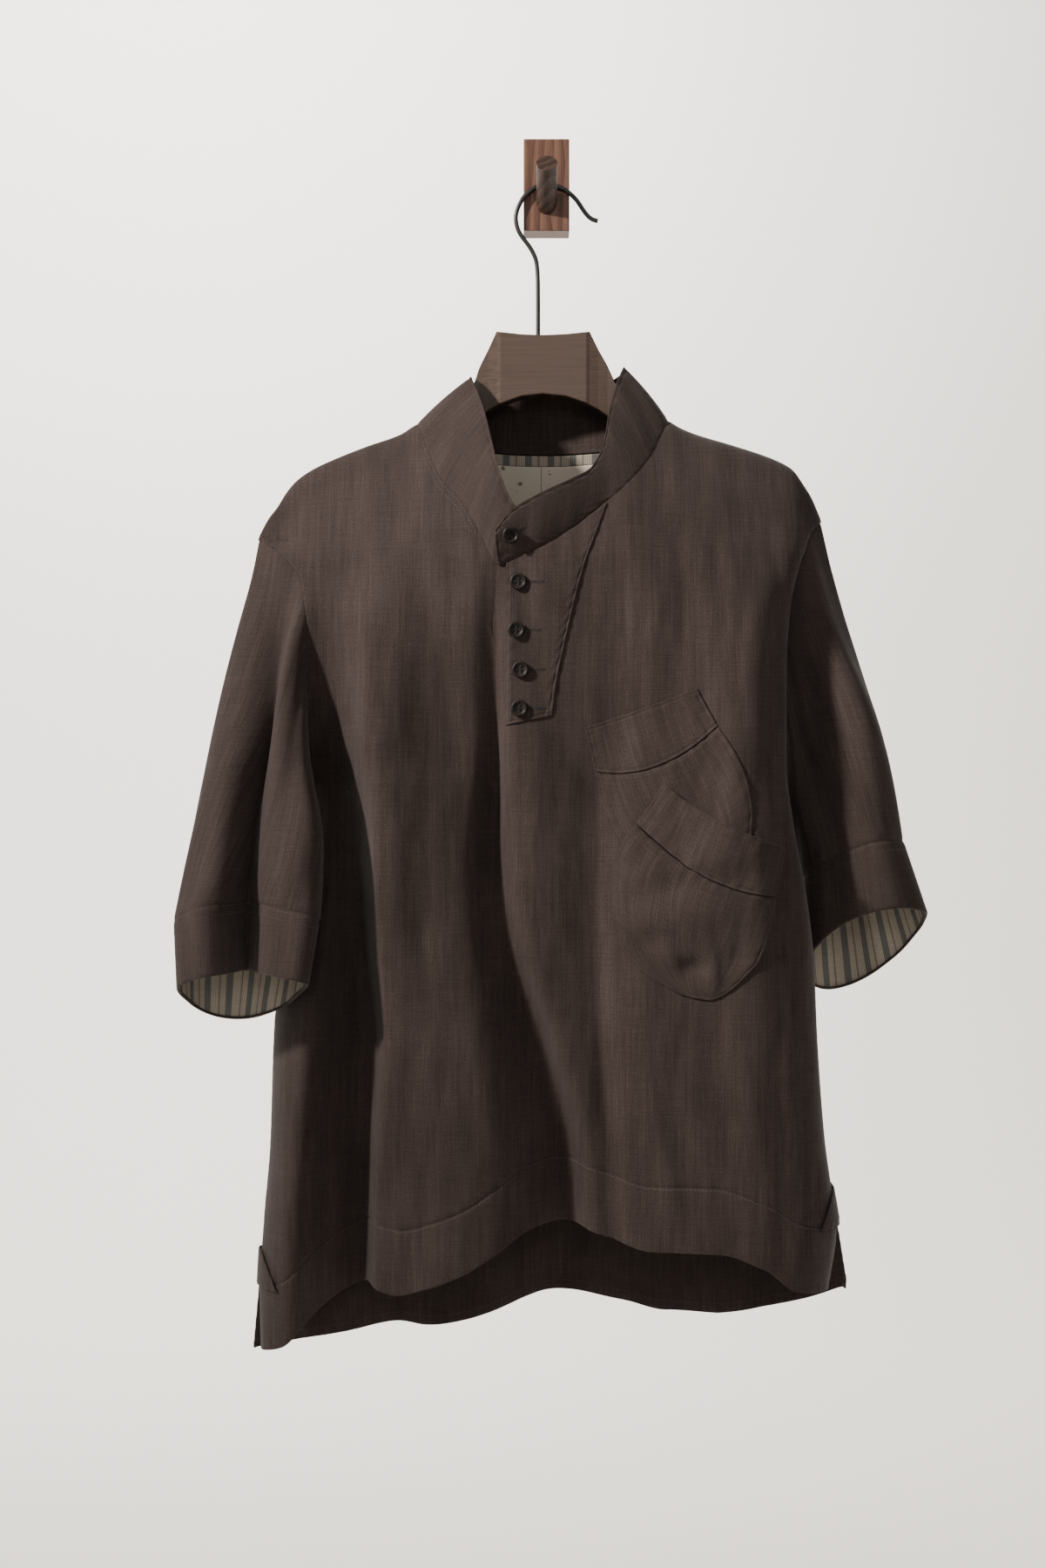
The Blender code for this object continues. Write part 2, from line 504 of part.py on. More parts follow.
def bib_point(across, down):
    left = Vector((BIB_LEFT_X, 0.0, mix(BIB_LEFT_TOP, BIB_LEFT_BOTTOM, down)))
    right_z = mix(BIB_RIGHT[0].z, BIB_RIGHT[-1].z, down)
    right = Vector((track(BIB_RIGHT, "z", "x", right_z), 0.0, right_z))
    spot = left.lerp(right, across)
    neckline = FRONT_NECK[7:]
    straight = mix(BIB_LEFT_TOP, BIB_RIGHT[0].z, across)
    spot.z += (track(neckline, "x", "z", spot.x) - 0.0015 - straight) * (1 - down) ** 2
    return off_panel("front", spot.x, spot.z, CLOTH + SEAM_GAP)


def pocket_point(rows, lift, across, down):
    left = Vector((track(rows, "down", "left_x", down), 0.0, track(rows, "down", "left_z", down)))
    right = Vector((track(rows, "down", "right_x", down), 0.0, track(rows, "down", "right_z", down)))
    spot = left.lerp(right, across)
    spot.z -= track(rows, "down", "bow", down) * 4 * across * (1 - across)
    return off_panel("front", spot.x, spot.z, lift)


# ---------------------------------------------------------------- making the objects
def new_scene():
    for item in list(bpy.data.objects):
        bpy.data.objects.remove(item, do_unlink=True)
    shown = bpy.data.collections.new(COLLECTION_NAME)
    tools = bpy.data.collections.new("cutters")
    bpy.context.scene.collection.children.link(shown)
    bpy.context.scene.collection.children.link(tools)
    return shown, tools


def finish(name, colour, roughness, metallic=0.0):
    material = bpy.data.materials.new(name)
    material.use_nodes = True
    shader = material.node_tree.nodes["Principled BSDF"]
    shader.inputs["Base Color"].default_value = (*colour, 1.0)
    shader.inputs["Roughness"].default_value = roughness
    shader.inputs["Metallic"].default_value = metallic
    return material


def add_object(name, data, colour, roughness, at=(0.0, 0.0, 0.0), collection=None):
    item = bpy.data.objects.new(name, data)
    item.location = at
    data.materials.append(finish(name, colour, roughness))
    (collection or SHIRT).objects.link(item)
    return item


def cloth_piece(name, point, columns, rows, colour, thickness=CLOTH, tube=False):
    """A wall of cloth around the surface point(across, down)."""
    grid = bmesh.new()
    bmesh.ops.create_grid(grid, x_segments=columns, y_segments=rows, size=0.5)
    for vert in grid.verts:
        vert.co = point(vert.co.x + 0.5, vert.co.y + 0.5)
    if tube:
        bmesh.ops.remove_doubles(grid, verts=grid.verts, dist=0.00005)
    mesh = bpy.data.meshes.new(name)
    grid.to_mesh(mesh)
    grid.free()
    mesh.shade_smooth()
    item = add_object(name, mesh, colour, 0.9, SHIRT_DATUM)
    wall = item.modifiers.new("cloth_thickness", "SOLIDIFY")
    wall.thickness = thickness
    wall.offset = 0.0
    return item


def surface_normal(point, across, down, towards):
    """Unit normal of a surface, on the side that looks towards a direction."""
    step = 0.01
    along = point(across + step, down) - point(across - step, down)
    downward = point(across, down + step) - point(across, down - step)
    normal = along.cross(downward).normalized()
    return normal if normal.dot(Vector(towards)) > 0 else -normal


def make_body():
    cloth_piece("front", front_piece, 40, 20, LINEN)
    cloth_piece("front_hem_band", hem_band_piece, 40, 2, LINEN)
    cloth_piece("back", back_piece, 34, 19, LINEN)


def make_sleeves():
    sides = (
        ("left", LEFT_EDGE, LEFT_UNDERARM_Z, LEFT_CUFF_TOP, LEFT_CUFF_END, LEFT_CREASES),
        ("right", RIGHT_EDGE, RIGHT_UNDERARM_Z, RIGHT_CUFF_TOP, RIGHT_CUFF_END, RIGHT_CREASES),
    )
    for side, edge, underarm_z, top_ring, end_ring, creases in sides:
        def sleeve(around, down):
            return sleeve_point(edge, underarm_z, top_ring, creases, around, down)

        def cuff(around, down):
            gap = SEAM_GAP / 2 / CUFF_HEIGHT
            return cuff_point(top_ring, end_ring, creases, around, mix(gap, 1.0, down))

        def bare_cuff(around, down):
            return cuff_point(top_ring, end_ring, creases, around % 1.0, down)

        def cuff_lining(around, down):
            setback = CUFF_LINING_SETBACK / CUFF_HEIGHT
            share = mix(setback, 1 - setback, down)
            here = bare_cuff(around, share)
            middle = sum((Vector(corner) for corner in top_ring), Vector()) / 4
            inward = surface_normal(bare_cuff, around, share, middle - here)
            return here + inward * ((CLOTH + LINING_CLOTH) / 2 + CUFF_LINING_GAP)

        cloth_piece("sleeve_" + side, sleeve, 28, 9, LINEN, tube=True)
        cloth_piece("cuff_" + side, cuff, 28, 2, LINEN, tube=True)
        cloth_piece("cuff_lining_" + side, cuff_lining, 28, 2, TICKING, LINING_CLOTH, tube=True)


def make_neck():
    cloth_piece("collar", collar_point, 48, 3, LINEN)
    cloth_piece("bib_placket", bib_point, 6, 10, LINEN)


def make_neck_lining():
    """Made from the back panel's points, moved inwards."""
    lift = (CLOTH + LINING_CLOTH) / 2 + NECK_LINING_GAP

    def patch(left_x, right_x, top_drop, bottom_drop):
        def point(across, down):
            x = mix(left_x, right_x, across)
            top_z = track(BACK_NECK, "x", "z", x)
            start_z = top_z - top_drop
            end_z = NECK_LINING_BOTTOM if bottom_drop is None else top_z - bottom_drop
            z = mix(start_z, end_z, down)
            return off_panel("back", x, z, lift)
        return point

    strip_end = NECK_STRIP_DROP + NECK_STRIP_HEIGHT
    panel_start = strip_end + SEAM_GAP
    strip = patch(NECK_LINING_LEFT, NECK_LINING_RIGHT, NECK_STRIP_DROP, strip_end)
    left = patch(NECK_LINING_LEFT, NECK_LINING_SEAM_X - SEAM_GAP, panel_start, None)
    right = patch(NECK_LINING_SEAM_X, NECK_LINING_RIGHT, panel_start, None)
    cloth_piece("back_neck_strip", strip, 12, 1, TICKING, LINING_CLOTH)
    cloth_piece("back_neck_lining_left", left, 6, 6, SAGE, LINING_CLOTH)
    cloth_piece("back_neck_lining_right", right, 6, 6, CREAM, LINING_CLOTH)


def over_upper_pocket(x, z):
    """1 where the upper pocket lies under a place, 0 clear of it, smooth between."""
    left = track(UPPER_BAG, "left_z", "left_x", z)
    right = track(UPPER_BAG, "right_z", "right_x", z)
    last = UPPER_BAG[-1]
    bottom = mix(last.left_z, last.right_z, (x - last.left_x) / (last.right_x - last.left_x)) - last.bow
    return (ease(x, left - UPPER_BAG_EDGE, left) * ease(-x, -right - UPPER_BAG_EDGE, -right)
            * ease(z, bottom - UPPER_BAG_EDGE, bottom))


def make_pockets():
    def upper(rows):
        def point(across, down):
            rise = UPPER_PUFF * 4 * across * (1 - across)
            return pocket_point(rows, POCKET_LIFT + rise, across, down)
        return point

    def lower(rows, fullness):
        def point(across, down):
            flat = pocket_point(rows, 0.0, across, down)
            under = (POCKET_LIFT + UPPER_PUFF) * over_upper_pocket(flat.x, flat.z)
            rise = LOWER_PUFF * 4 * across * (1 - across) * fullness(down)
            return pocket_point(rows, POCKET_LIFT + under + rise, across, down)
        return point

    def below_seam(point):
        return lambda across, down: point(across, mix(POCKET_SEAM, 1.0, down))

    cloth_piece("pocket_upper_band", upper(UPPER_BAND), 8, 3, LINEN)
    cloth_piece("pocket_upper_bag", below_seam(upper(UPPER_BAG)), 8, 6, LINEN)
    cloth_piece("pocket_lower_band", lower(LOWER_BAND, lambda down: 1.0), 10, 3, LINEN)
    cloth_piece("pocket_lower_bag", below_seam(lower(LOWER_BAG, lambda down: 1 - down**2)), 10, 9, LINEN)


def make_gussets():
    def gusset(edge_rows, heights, sign):
        def point(across, down):
            z = mix(*heights, down)
            turn = 2 * across - 1
            side = "front" if turn < 0 else "back"
            reach = track(GUSSET, "down", side + "_reach", down) * turn * turn

            def seam_path(distance):
                edge_x = track(edge_rows, "z", side + "_x", z)
                x = edge_x - sign * distance
                return Vector((x, panel_depth(side, x, z), z))

            here = seam_path(reach)
            ahead = seam_path(reach + 0.0005)
            tangent = (ahead - here).normalized()
            out = Vector((tangent.y, -tangent.x, 0.0))
            if out.x * sign + out.y * (-1 if side == "front" else 1) < 0:
                out = -out
            return here + out * GUSSET_LIFT
        return point

    cloth_piece("gusset_left", gusset(LEFT_EDGE, LEFT_GUSSET_Z, -1), 10, 3, LINEN)
    cloth_piece("gusset_right", gusset(RIGHT_EDGE, RIGHT_GUSSET_Z, 1), 10, 3, LINEN)


# ---------------------------------------------------------------- buttons
def button_mesh():
    """A dished disc with a rounded rim and four holes, facing +Z, its middle at the origin."""
    half = BUTTON_THICKNESS / 2
    profile = [(0.0, half * 0.2), (0.55, half * 0.2), (0.72, half * 0.95), (0.86, half),
               (1.0, half * 0.3), (0.96, -half * 0.5), (0.8, -half), (0.0, -half)]
    outline = bmesh.new()
    verts = [outline.verts.new((share * BUTTON_RADIUS, 0.0, z)) for share, z in profile]
    edges = [outline.edges.new(pair) for pair in zip(verts, verts[1:])]
    bmesh.ops.spin(outline, geom=verts + edges, cent=(0, 0, 0), axis=(0, 0, 1),
                   angle=2 * math.pi, steps=14, use_merge=True)
    bmesh.ops.remove_doubles(outline, verts=outline.verts, dist=0.00002)
    bmesh.ops.recalc_face_normals(outline, faces=outline.faces)
    mesh = bpy.data.meshes.new("button")
    outline.to_mesh(mesh)
    outline.free()
    return mesh


def hole_cutter(at, turn):
    """Four pins that cut the holes of one button."""
    pins = bmesh.new()
    for quarter in range(4):
        angle = math.radians(45 + 90 * quarter)
        pin = bmesh.ops.create_cone(pins, cap_ends=True, segments=5, radius1=HOLE_RADIUS,
                                    radius2=HOLE_RADIUS, depth=3 * BUTTON_THICKNESS)
        offset = Vector((math.cos(angle), math.sin(angle), 0.0)) * HOLE_REACH
        bmesh.ops.translate(pins, verts=pin["verts"], vec=offset)
    mesh = bpy.data.meshes.new("button_holes")
    pins.to_mesh(mesh)
    pins.free()
    cutter = bpy.data.objects.new("button_holes", mesh)
    cutter.rotation_mode = "QUATERNION"
    cutter.rotation_quaternion = turn
    cutter.location = at
    cutter.hide_render = True
    cutter.display_type = "WIRE"
    CUTTERS.objects.link(cutter)
    return cutter


def make_buttons():
    """One on the collar's lapped end, the others down the bib placket."""
    seats = [(collar_point(*COLLAR_BUTTON), surface_normal(collar_point, *COLLAR_BUTTON, (0, -1, 0)))]
    for spot in PLACKET_BUTTONS:
        base = off_panel("front", spot.x, spot.z, CLOTH + SEAM_GAP)
        seats.append((base, (base - off_panel("front", spot.x, spot.z, 0.0)).normalized()))
    for number, (base, out) in enumerate(seats, 1):
        at = base + out * (CLOTH / 2 + SEAM_GAP + BUTTON_SLACK + BUTTON_THICKNESS / 2) + SHIRT_DATUM
        turn = out.to_track_quat("Z", "Y")
        item = add_object("button_%d" % number, button_mesh(), HORN, 0.35, at)
        item.rotation_mode = "QUATERNION"
        item.rotation_quaternion = turn
        item.data.set_sharp_from_angle(angle=math.radians(40))
        holes = item.modifiers.new("holes", "BOOLEAN")
        holes.operation = "DIFFERENCE"
        holes.object = hole_cutter(at, turn)


# ---------------------------------------------------------------- hanger, hook and peg
def wood_section(row):
    """Rounded rectangle across the hanger at one station."""
    middle_z = (row.top + row.bottom) / 2
    half_height = (row.top - row.bottom) / 2 - row.round
    half_depth = row.half_depth - row.round
    points = []
    for corner in range(4):
        corner_y = half_depth if corner in (0, 3) else -half_depth
        corner_z = half_height if corner in (0, 1) else -half_height
        for step in range(SECTION_CORNER_STEPS):
            angle = math.pi / 2 * (corner + step / (SECTION_CORNER_STEPS - 1))
            y = row.y + corner_y + row.round * math.cos(angle)
            z = middle_z + corner_z + row.round * math.sin(angle)
            points.append(Vector((row.x, y, z)))
    return points


def make_hanger():
    wood = bmesh.new()
    loops = [[wood.verts.new(point) for point in wood_section(row)] for row in HANGER]
    count = len(loops[0])
    for left, right in zip(loops, loops[1:]):
        for n in range(count):
            after = (n + 1) % count
            wood.faces.new((left[n], right[n], right[after], left[after]))
    wood.faces.new(loops[0])
    wood.faces.new(list(reversed(loops[-1])))
    bmesh.ops.recalc_face_normals(wood, faces=wood.faces)
    mesh = bpy.data.meshes.new("hanger_body")
    wood.to_mesh(mesh)
    wood.free()
    add_object("hanger_body", mesh, STAINED_WOOD, 0.5, SHIRT_DATUM)


def make_hook():
    """Steel wire as a curve, its path smoothed between the table's points."""
    points = [Vector((row.x, HOOK_Y, row.z)) for row in HOOK]
    path = []
    for n in range(len(points) - 1):
        before = points[max(n - 1, 0)]
        here, after = points[n], points[n + 1]
        beyond = points[min(n + 2, len(points) - 1)]
        for step in range(HOOK_STEPS):
            t = step / HOOK_STEPS
            path.append(0.5 * (2 * here + (after - before) * t
                               + (2 * before - 5 * here + 4 * after - beyond) * t**2
                               + (3 * here - before - 3 * after + beyond) * t**3))
    path.append(points[-1])
    curve = bpy.data.curves.new("hanger_hook", "CURVE")
    curve.dimensions = "3D"
    curve.bevel_depth = HOOK_WIRE_RADIUS
    curve.bevel_resolution = 2
    curve.use_fill_caps = True
    wire = curve.splines.new("POLY")
    wire.points.add(len(path) - 1)
    for spot, place in zip(wire.points, path):
        spot.co = (*place, 1.0)
    add_object("hanger_hook", curve, BLACK_STEEL, 0.35, SHIRT_DATUM)


def make_wall_mount():
    plate = bmesh.new()
    bmesh.ops.create_cube(plate, size=1.0)
    bmesh.ops.scale(plate, vec=PLATE_SIZE, verts=plate.verts)
    mesh = bpy.data.meshes.new("wall_plate")
    plate.to_mesh(mesh)
    plate.free()
    item = add_object("wall_plate", mesh, WALNUT, 0.55, (0.0, -PLATE_SIZE.y / 2, 0.0))
    edges = item.modifiers.new("eased_edges", "BEVEL")
    edges.width = 0.0008
    edges.segments = 2

    peg = bmesh.new()
    bmesh.ops.create_cone(peg, cap_ends=True, segments=28, radius1=PEG_RADIUS, radius2=PEG_RADIUS,
                          depth=2 * PEG_LENGTH)
    axis = Vector((0.0, -math.cos(PEG_SLOPE), math.sin(PEG_SLOPE)))
    turn = axis.to_track_quat("Z", "Y").to_matrix()
    bmesh.ops.rotate(peg, verts=peg.verts, cent=(0, 0, 0), matrix=turn)
    foot = Vector((0.0, -PLATE_SIZE.y - SEAM_GAP, PEG_FOOT_Z))
    bmesh.ops.translate(peg, verts=peg.verts, vec=foot)
    cut = bmesh.ops.bisect_plane(peg, geom=peg.verts[:] + peg.edges[:] + peg.faces[:], dist=0.00001,
                                 plane_co=foot, plane_no=(0, 1, 0), clear_outer=True)
    rim = [part for part in cut["geom_cut"] if isinstance(part, bmesh.types.BMEdge)]
    bmesh.ops.contextual_create(peg, geom=rim)
    bmesh.ops.recalc_face_normals(peg, faces=peg.faces)
    mesh = bpy.data.meshes.new("wall_peg")
    peg.to_mesh(mesh)
    peg.free()
    add_object("wall_peg", mesh, WALNUT, 0.5)


SHIRT, CUTTERS = new_scene()
make_body()
make_sleeves()
make_neck()
make_neck_lining()
make_pockets()
make_gussets()
make_buttons()
make_hanger()
make_hook()
make_wall_mount()
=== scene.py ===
"""A linen popover shirt with two chest pockets on a wooden hanger, hung from a wall peg."""
import math

import bmesh
import bpy
import numpy as np
from mathutils import Matrix, Vector


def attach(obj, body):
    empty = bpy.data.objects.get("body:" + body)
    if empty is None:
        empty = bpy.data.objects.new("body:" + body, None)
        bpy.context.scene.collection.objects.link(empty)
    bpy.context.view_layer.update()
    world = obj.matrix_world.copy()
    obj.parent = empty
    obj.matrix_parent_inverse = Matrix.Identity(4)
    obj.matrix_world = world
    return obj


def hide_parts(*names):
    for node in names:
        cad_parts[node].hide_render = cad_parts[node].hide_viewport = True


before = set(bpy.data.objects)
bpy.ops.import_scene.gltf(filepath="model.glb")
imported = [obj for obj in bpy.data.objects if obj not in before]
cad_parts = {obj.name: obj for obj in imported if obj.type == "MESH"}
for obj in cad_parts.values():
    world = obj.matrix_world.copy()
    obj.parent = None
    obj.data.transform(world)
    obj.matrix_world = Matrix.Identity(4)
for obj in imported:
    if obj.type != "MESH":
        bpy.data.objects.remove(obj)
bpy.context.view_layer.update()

# ------------------------------------------------------------------ studio
# A pale floor that sweeps up behind, a small strong lamp high on the left, a wide weak one
# in front, two for what lies behind the shirt, and the camera at the height of the shirt.
FLOOR_Z, FLOOR_START_Y, FLOOR_WIDTH, FLOOR_LENGTH = -1.7, -5.0, 22, 14
SWEEP_START_Y, SWEEP_RADIUS = 3.0, 1.6


def plain(name, colour, roughness, **more):
    """A material and its node tree and shader, for the sections to add to."""
    material = bpy.data.materials.new(name)
    material.use_nodes = True
    tree = material.node_tree
    shader = tree.nodes["Principled BSDF"]
    shader.inputs["Base Color"].default_value = (*colour, 1.0)
    shader.inputs["Roughness"].default_value = roughness
    for socket, value in more.items():
        shader.inputs[socket.replace("_", " ")].default_value = value
    return material, tree, shader


def node(tree, kind, inputs=(), **settings):
    """A shader node; inputs maps a socket's name or number to a value or to another socket."""
    made = tree.nodes.new("ShaderNode" + kind)
    for key, value in settings.items():
        setattr(made, key, value)
    for key, value in dict(inputs).items():
        if isinstance(value, bpy.types.NodeSocket):
            tree.links.new(value, made.inputs[key])
        else:
            made.inputs[key].default_value = value
    return made


def placed(name, data):
    """A new object in the scene that shows this data."""
    item = bpy.data.objects.new(name, data)
    bpy.context.scene.collection.objects.link(item)
    return item


sweep = bmesh.new()
bmesh.ops.create_grid(sweep, x_segments=2, y_segments=40, size=0.5)
for vert in sweep.verts:
    run = (vert.co.y + 0.5) * FLOOR_LENGTH + FLOOR_START_Y
    turn = min(max((run - SWEEP_START_Y) / SWEEP_RADIUS, 0.0), math.pi / 2)
    rise = max(run - SWEEP_START_Y - SWEEP_RADIUS * math.pi / 2, 0.0)
    vert.co = (vert.co.x * FLOOR_WIDTH,
               min(run, SWEEP_START_Y) + SWEEP_RADIUS * math.sin(turn),
               FLOOR_Z + SWEEP_RADIUS * (1 - math.cos(turn)) + rise)
sweep_mesh = bpy.data.meshes.new("floor")
sweep.to_mesh(sweep_mesh)
sweep.free()
sweep_mesh.shade_smooth()
sweep_mesh.materials.append(plain("pale_floor", (0.8, 0.765, 0.725), 0.9)[0])
placed("floor", sweep_mesh)


def lamp(name, at, towards, size, watts, colour, spread=180):
    """A round lamp, turned towards a place; a small spread makes its beam narrow."""
    light = bpy.data.lights.new(name, "AREA")
    light.shape = "DISK"
    light.size = size
    light.energy = watts
    light.color = colour
    light.spread = math.radians(spread)
    item = placed(name, light)
    item.location = at
    item.rotation_euler = (Vector(towards) - Vector(at)).to_track_quat("-Z", "Y").to_euler()


lamp("key", (-3.15, -1.72, 1.55), (0.6, -0.07, -0.42), 0.34, 12.5, (1.0, 0.92, 0.86), 34)
lamp("front", (0.2, -3.2, 0.5), (0.0, -0.07, -0.45), 1.0, 9.0, (1.0, 0.93, 0.9))
lamp("backdrop", (-1.2, 1.4, 2.4), (-0.5, 4.4, 1.2), 2.6, 640.0, (1.0, 0.97, 0.93))
lamp("rear", (1.6, 2.2, 1.4), (0.0, 0.0, -0.5), 1.6, 20.0, (1.0, 0.96, 0.92))

world = bpy.data.worlds.new("studio")
world.use_nodes = True
glow = world.node_tree.nodes["Background"].inputs
glow["Color"].default_value = (1.0, 0.975, 0.95, 1.0)
glow["Strength"].default_value = 0.33
bpy.context.scene.world = world

camera = placed("camera", bpy.data.cameras.new("camera"))
camera.data.lens = 50.0
camera.data.sensor_width = 36.0
camera.location = (-0.0209, -1.925, -0.522)
camera.rotation_euler = (math.pi / 2, 0.0, 0.0)
bpy.context.scene.camera = camera

# ------------------------------------------------------------------ front panel
# One panel of slubbed dark linen with a deep V neckline, sewn to the back at the
# shoulders and sides and to a curved band at the hem. It hangs in soft vertical folds.
DATUM = np.array((-0.0014, 0.0, -0.033))   # the tables are measured from this point of the wall
LINEN_THICK = 0.0011
SHOULDER_SEAM_Y = -0.042
SIDE_SEAM_GAP = 0.0007
LEFT_ROUNDNESS, RIGHT_ROUNDNESS = 1.5, 3.0
HEM_BAND_HEIGHT = 0.054
NECK_START, NECK_END = 0.25, 0.75       # the share of a panel's upper edge that is the neckline


def metres(**columns):
    """A table's columns, written in millimetres; those that name a share of a piece stay as they are."""
    return {name: np.array(column) / (1 if name in ("across", "along", "seam", "down") else 1000)
            for name, column in columns.items()}


# The line of the shoulder seams over the hanger.
RIDGE = metres(
    x=[-248, -238.5, -230.5, -223.5, -215.3, -200.3, -185.2, -155, -125, -110, -60, 0, 60, 106, 116, 131,
       161, 191.4, 206.5, 214, 221.5, 229.1, 238.5],
    z=[-278.5, -260.5, -250, -238.5, -228.5, -217.8, -210.5, -198.3, -187.6, -178.5, -164, -160, -163.5,
       -175.8, -181.5, -187.6, -196.6, -206.6, -213.3, -218.5, -229, -241, -263])
SHOULDER = metres(
    across=[0, 0.04, 0.08, 0.14, 0.2, 0.25, 0.75, 0.8, 0.86, 0.92, 0.96, 1],
    x=[-248, -230.5, -208, -172, -137, -110, 106, 131, 164, 206.5, 225.5, 238.5])
NECK = dict(
    front=metres(
        across=[0.25, 0.29, 0.33, 0.37, 0.41, 0.43, 0.445, 0.45, 0.455, 0.485, 0.53, 0.58, 0.63, 0.67, 0.71,
                0.75],
        x=[-110, -99, -88, -74, -58, -49.7, -43.6, -41.5, -39.1, -25, -2, 22, 47, 68, 88, 106],
        z=[-178.5, -207, -231, -247, -274, -290.5, -302.9, -307, -306.3, -299, -290, -275, -255.6, -237,
           -213, -175.8]),
    back=metres(
        across=[0.25, 0.3, 0.37, 0.5, 0.63, 0.7, 0.75],
        x=[-110, -92, -60, -2, 56, 88, 106],
        z=[-178.5, -188, -197, -200, -197, -188, -175.8]))
HEM = dict(
    front=metres(
        across=[0, 0.05, 0.1, 0.155, 0.21, 0.25, 0.3, 0.36, 0.42, 0.47, 0.52, 0.6, 0.68, 0.78, 0.87, 0.93,
                1],
        z=[-973, -962, -938, -920, -911, -914, -907, -895, -876, -861, -856, -865, -875, -875, -888, -907,
           -913]),
    back=metres(
        across=[0, 0.1, 0.24, 0.29, 0.42, 0.51, 0.62, 0.7, 0.82, 0.9, 0.96, 1],
        z=[-978, -970, -958, -962, -945, -932, -939, -950, -950, -943, -934, -924]))
# Armhole and side seam on each side: where the front's and the back's edges run.
EDGE = dict(
    left=metres(
        z=[-278.5, -283, -292, -316, -348, -403, -450, -478, -520, -605, -695, -800, -862, -920, -975],
        front_x=[-248, -237.5, -226.5, -208, -204, -203.5, -204.5, -204.6, -200, -216.5, -234.5, -237.5,
                 -242.5, -245.5, -243.5],
        back_x=[-248, -237.5, -226.5, -208, -204, -203.5, -204.5, -204.6, -200, -216.5, -234.5, -237.5,
                -242.5, -247, -253],
        front_y=[-45, -54, -63, -73, -79, -77, -62, -42, -31, -30, -35, -41, -44, -48, -56],
        back_y=[-45, -37, -33, -26, -21, -20, -26, -42, -31, -30, -35, -41, -44, -46, -36]),
    right=metres(
        z=[-263, -274, -290, -302, -341, -393, -445, -477.5, -523, -581.5, -633.5, -712.8, -787.4, -824.7,
           -862, -915],
        front_x=[238.5, 228, 222, 217, 207.5, 203.5, 203, 203.5, 208.5, 219, 225.5, 229.8, 235.8, 241,
                 246.5, 238.5],
        back_x=[238.5, 228, 222, 217, 207.5, 203.5, 203, 203.5, 208.5, 219, 225.5, 229.8, 235.8, 241, 250,
                260],
        front_y=[-45, -56, -64, -68, -72, -72, -71, -66, -73, -77, -74, -68, -64, -62, -60, -66],
        back_y=[-45, -36, -32, -30, -26, -26, -45, -66, -73, -77, -74, -68, -64, -62, -58, -48]))
UNDERARM_Z = dict(left=-0.478, right=-0.4775)
# How far a panel stands off the ridge of the shoulders, by its drop below it.
HANG = metres(
    drop=[0, 1.5, 5, 12, 25, 50, 80, 120, 180, 280, 450, 620, 800],
    front=[0, 7.5, 13.5, 19.5, 26.5, 42, 56, 68, 78, 85, 92, 100, 108],
    back=[0, 6.5, 11.5, 16.5, 21, 25, 27, 28, 28.5, 29, 30, 31, 31])
# The front's folds: at each height, the places across it where ridges and hollows run, and how
# far forward of its round shape each of them stands.
RIBS = metres(
    z=[-300, -370, -450, -530, -620, -700, -800, -960],
    x=3 * [[-192, -178, -166, -150, -95, -58, -42, -29, 38, 54, 120, 178]] + [
       [-190, -176, -160, -140, -95, -66, -41, -26, 42, 56, 120, 180],
       [-195, -180, -156, -139, -95, -68, -31, -13, 42, 56, 120, 181],
       [-206, -178, -147, -133, -95, -64, -6, 13, 45, 60, 120, 183],
       [-216, -182, -152, -137, -95, -52, 18, 38, 52, 66, 120, 187],
       [-222, -188, -156, -140, -95, -50, 24, 44, 55, 69, 120, 190]],
    forward=[[0, 0, 0, 0, 0, 0, 0, 0, 0, 0, 0, 0], [-15, -12, -4, 8, -3, -9, -15, -6, -8, -7, 0, 8],
             [-29, -25, -9, 17, -7, -19, -30, -12, -16, -15, -1, 15],
             [-9, -15, -9, 22, -3, -21, -43, -18, -24, -18, -3, 14],
             [-4, -17, -29, 11, -5, -15, -48, -22, -28, -18, -4, 11],
             [24, -17, -42, 0, -5, -12, -55, -26, -29, -17, -3, 11],
             [31, -21, -48, -3, -4, -12, -59, -30, -31, -20, -5, 11],
             [18, -29, -53, -9, -7, -14, -59, -31, -32, -22, -7, 9]])
# The back's folds: the line each follows down the panel, its half width on the left and on
# the right of that line, and how far forward it stands.
BACK_FOLDS = [metres(z=z, x=x, left=left, right=right, forward=forward) for z, x, left, right, forward in (
    ([-360, -520, -980], [-150, -154, -165], [28, 30, 30], [28, 24, 22], [0, 10, 11]),
    ([-420, -580, -980], [-60, -58, -50], [36, 40, 44], [34, 26, 24], [0, 15, 17]),
    ([-340, -500, -980], [50, 52, 60], [24, 24, 24], [30, 36, 40], [0, 11, 12]),
    ([-440, -600, -980], [140, 142, 150], [30, 28, 28], [28, 26, 22], [0, 12, 13]))]
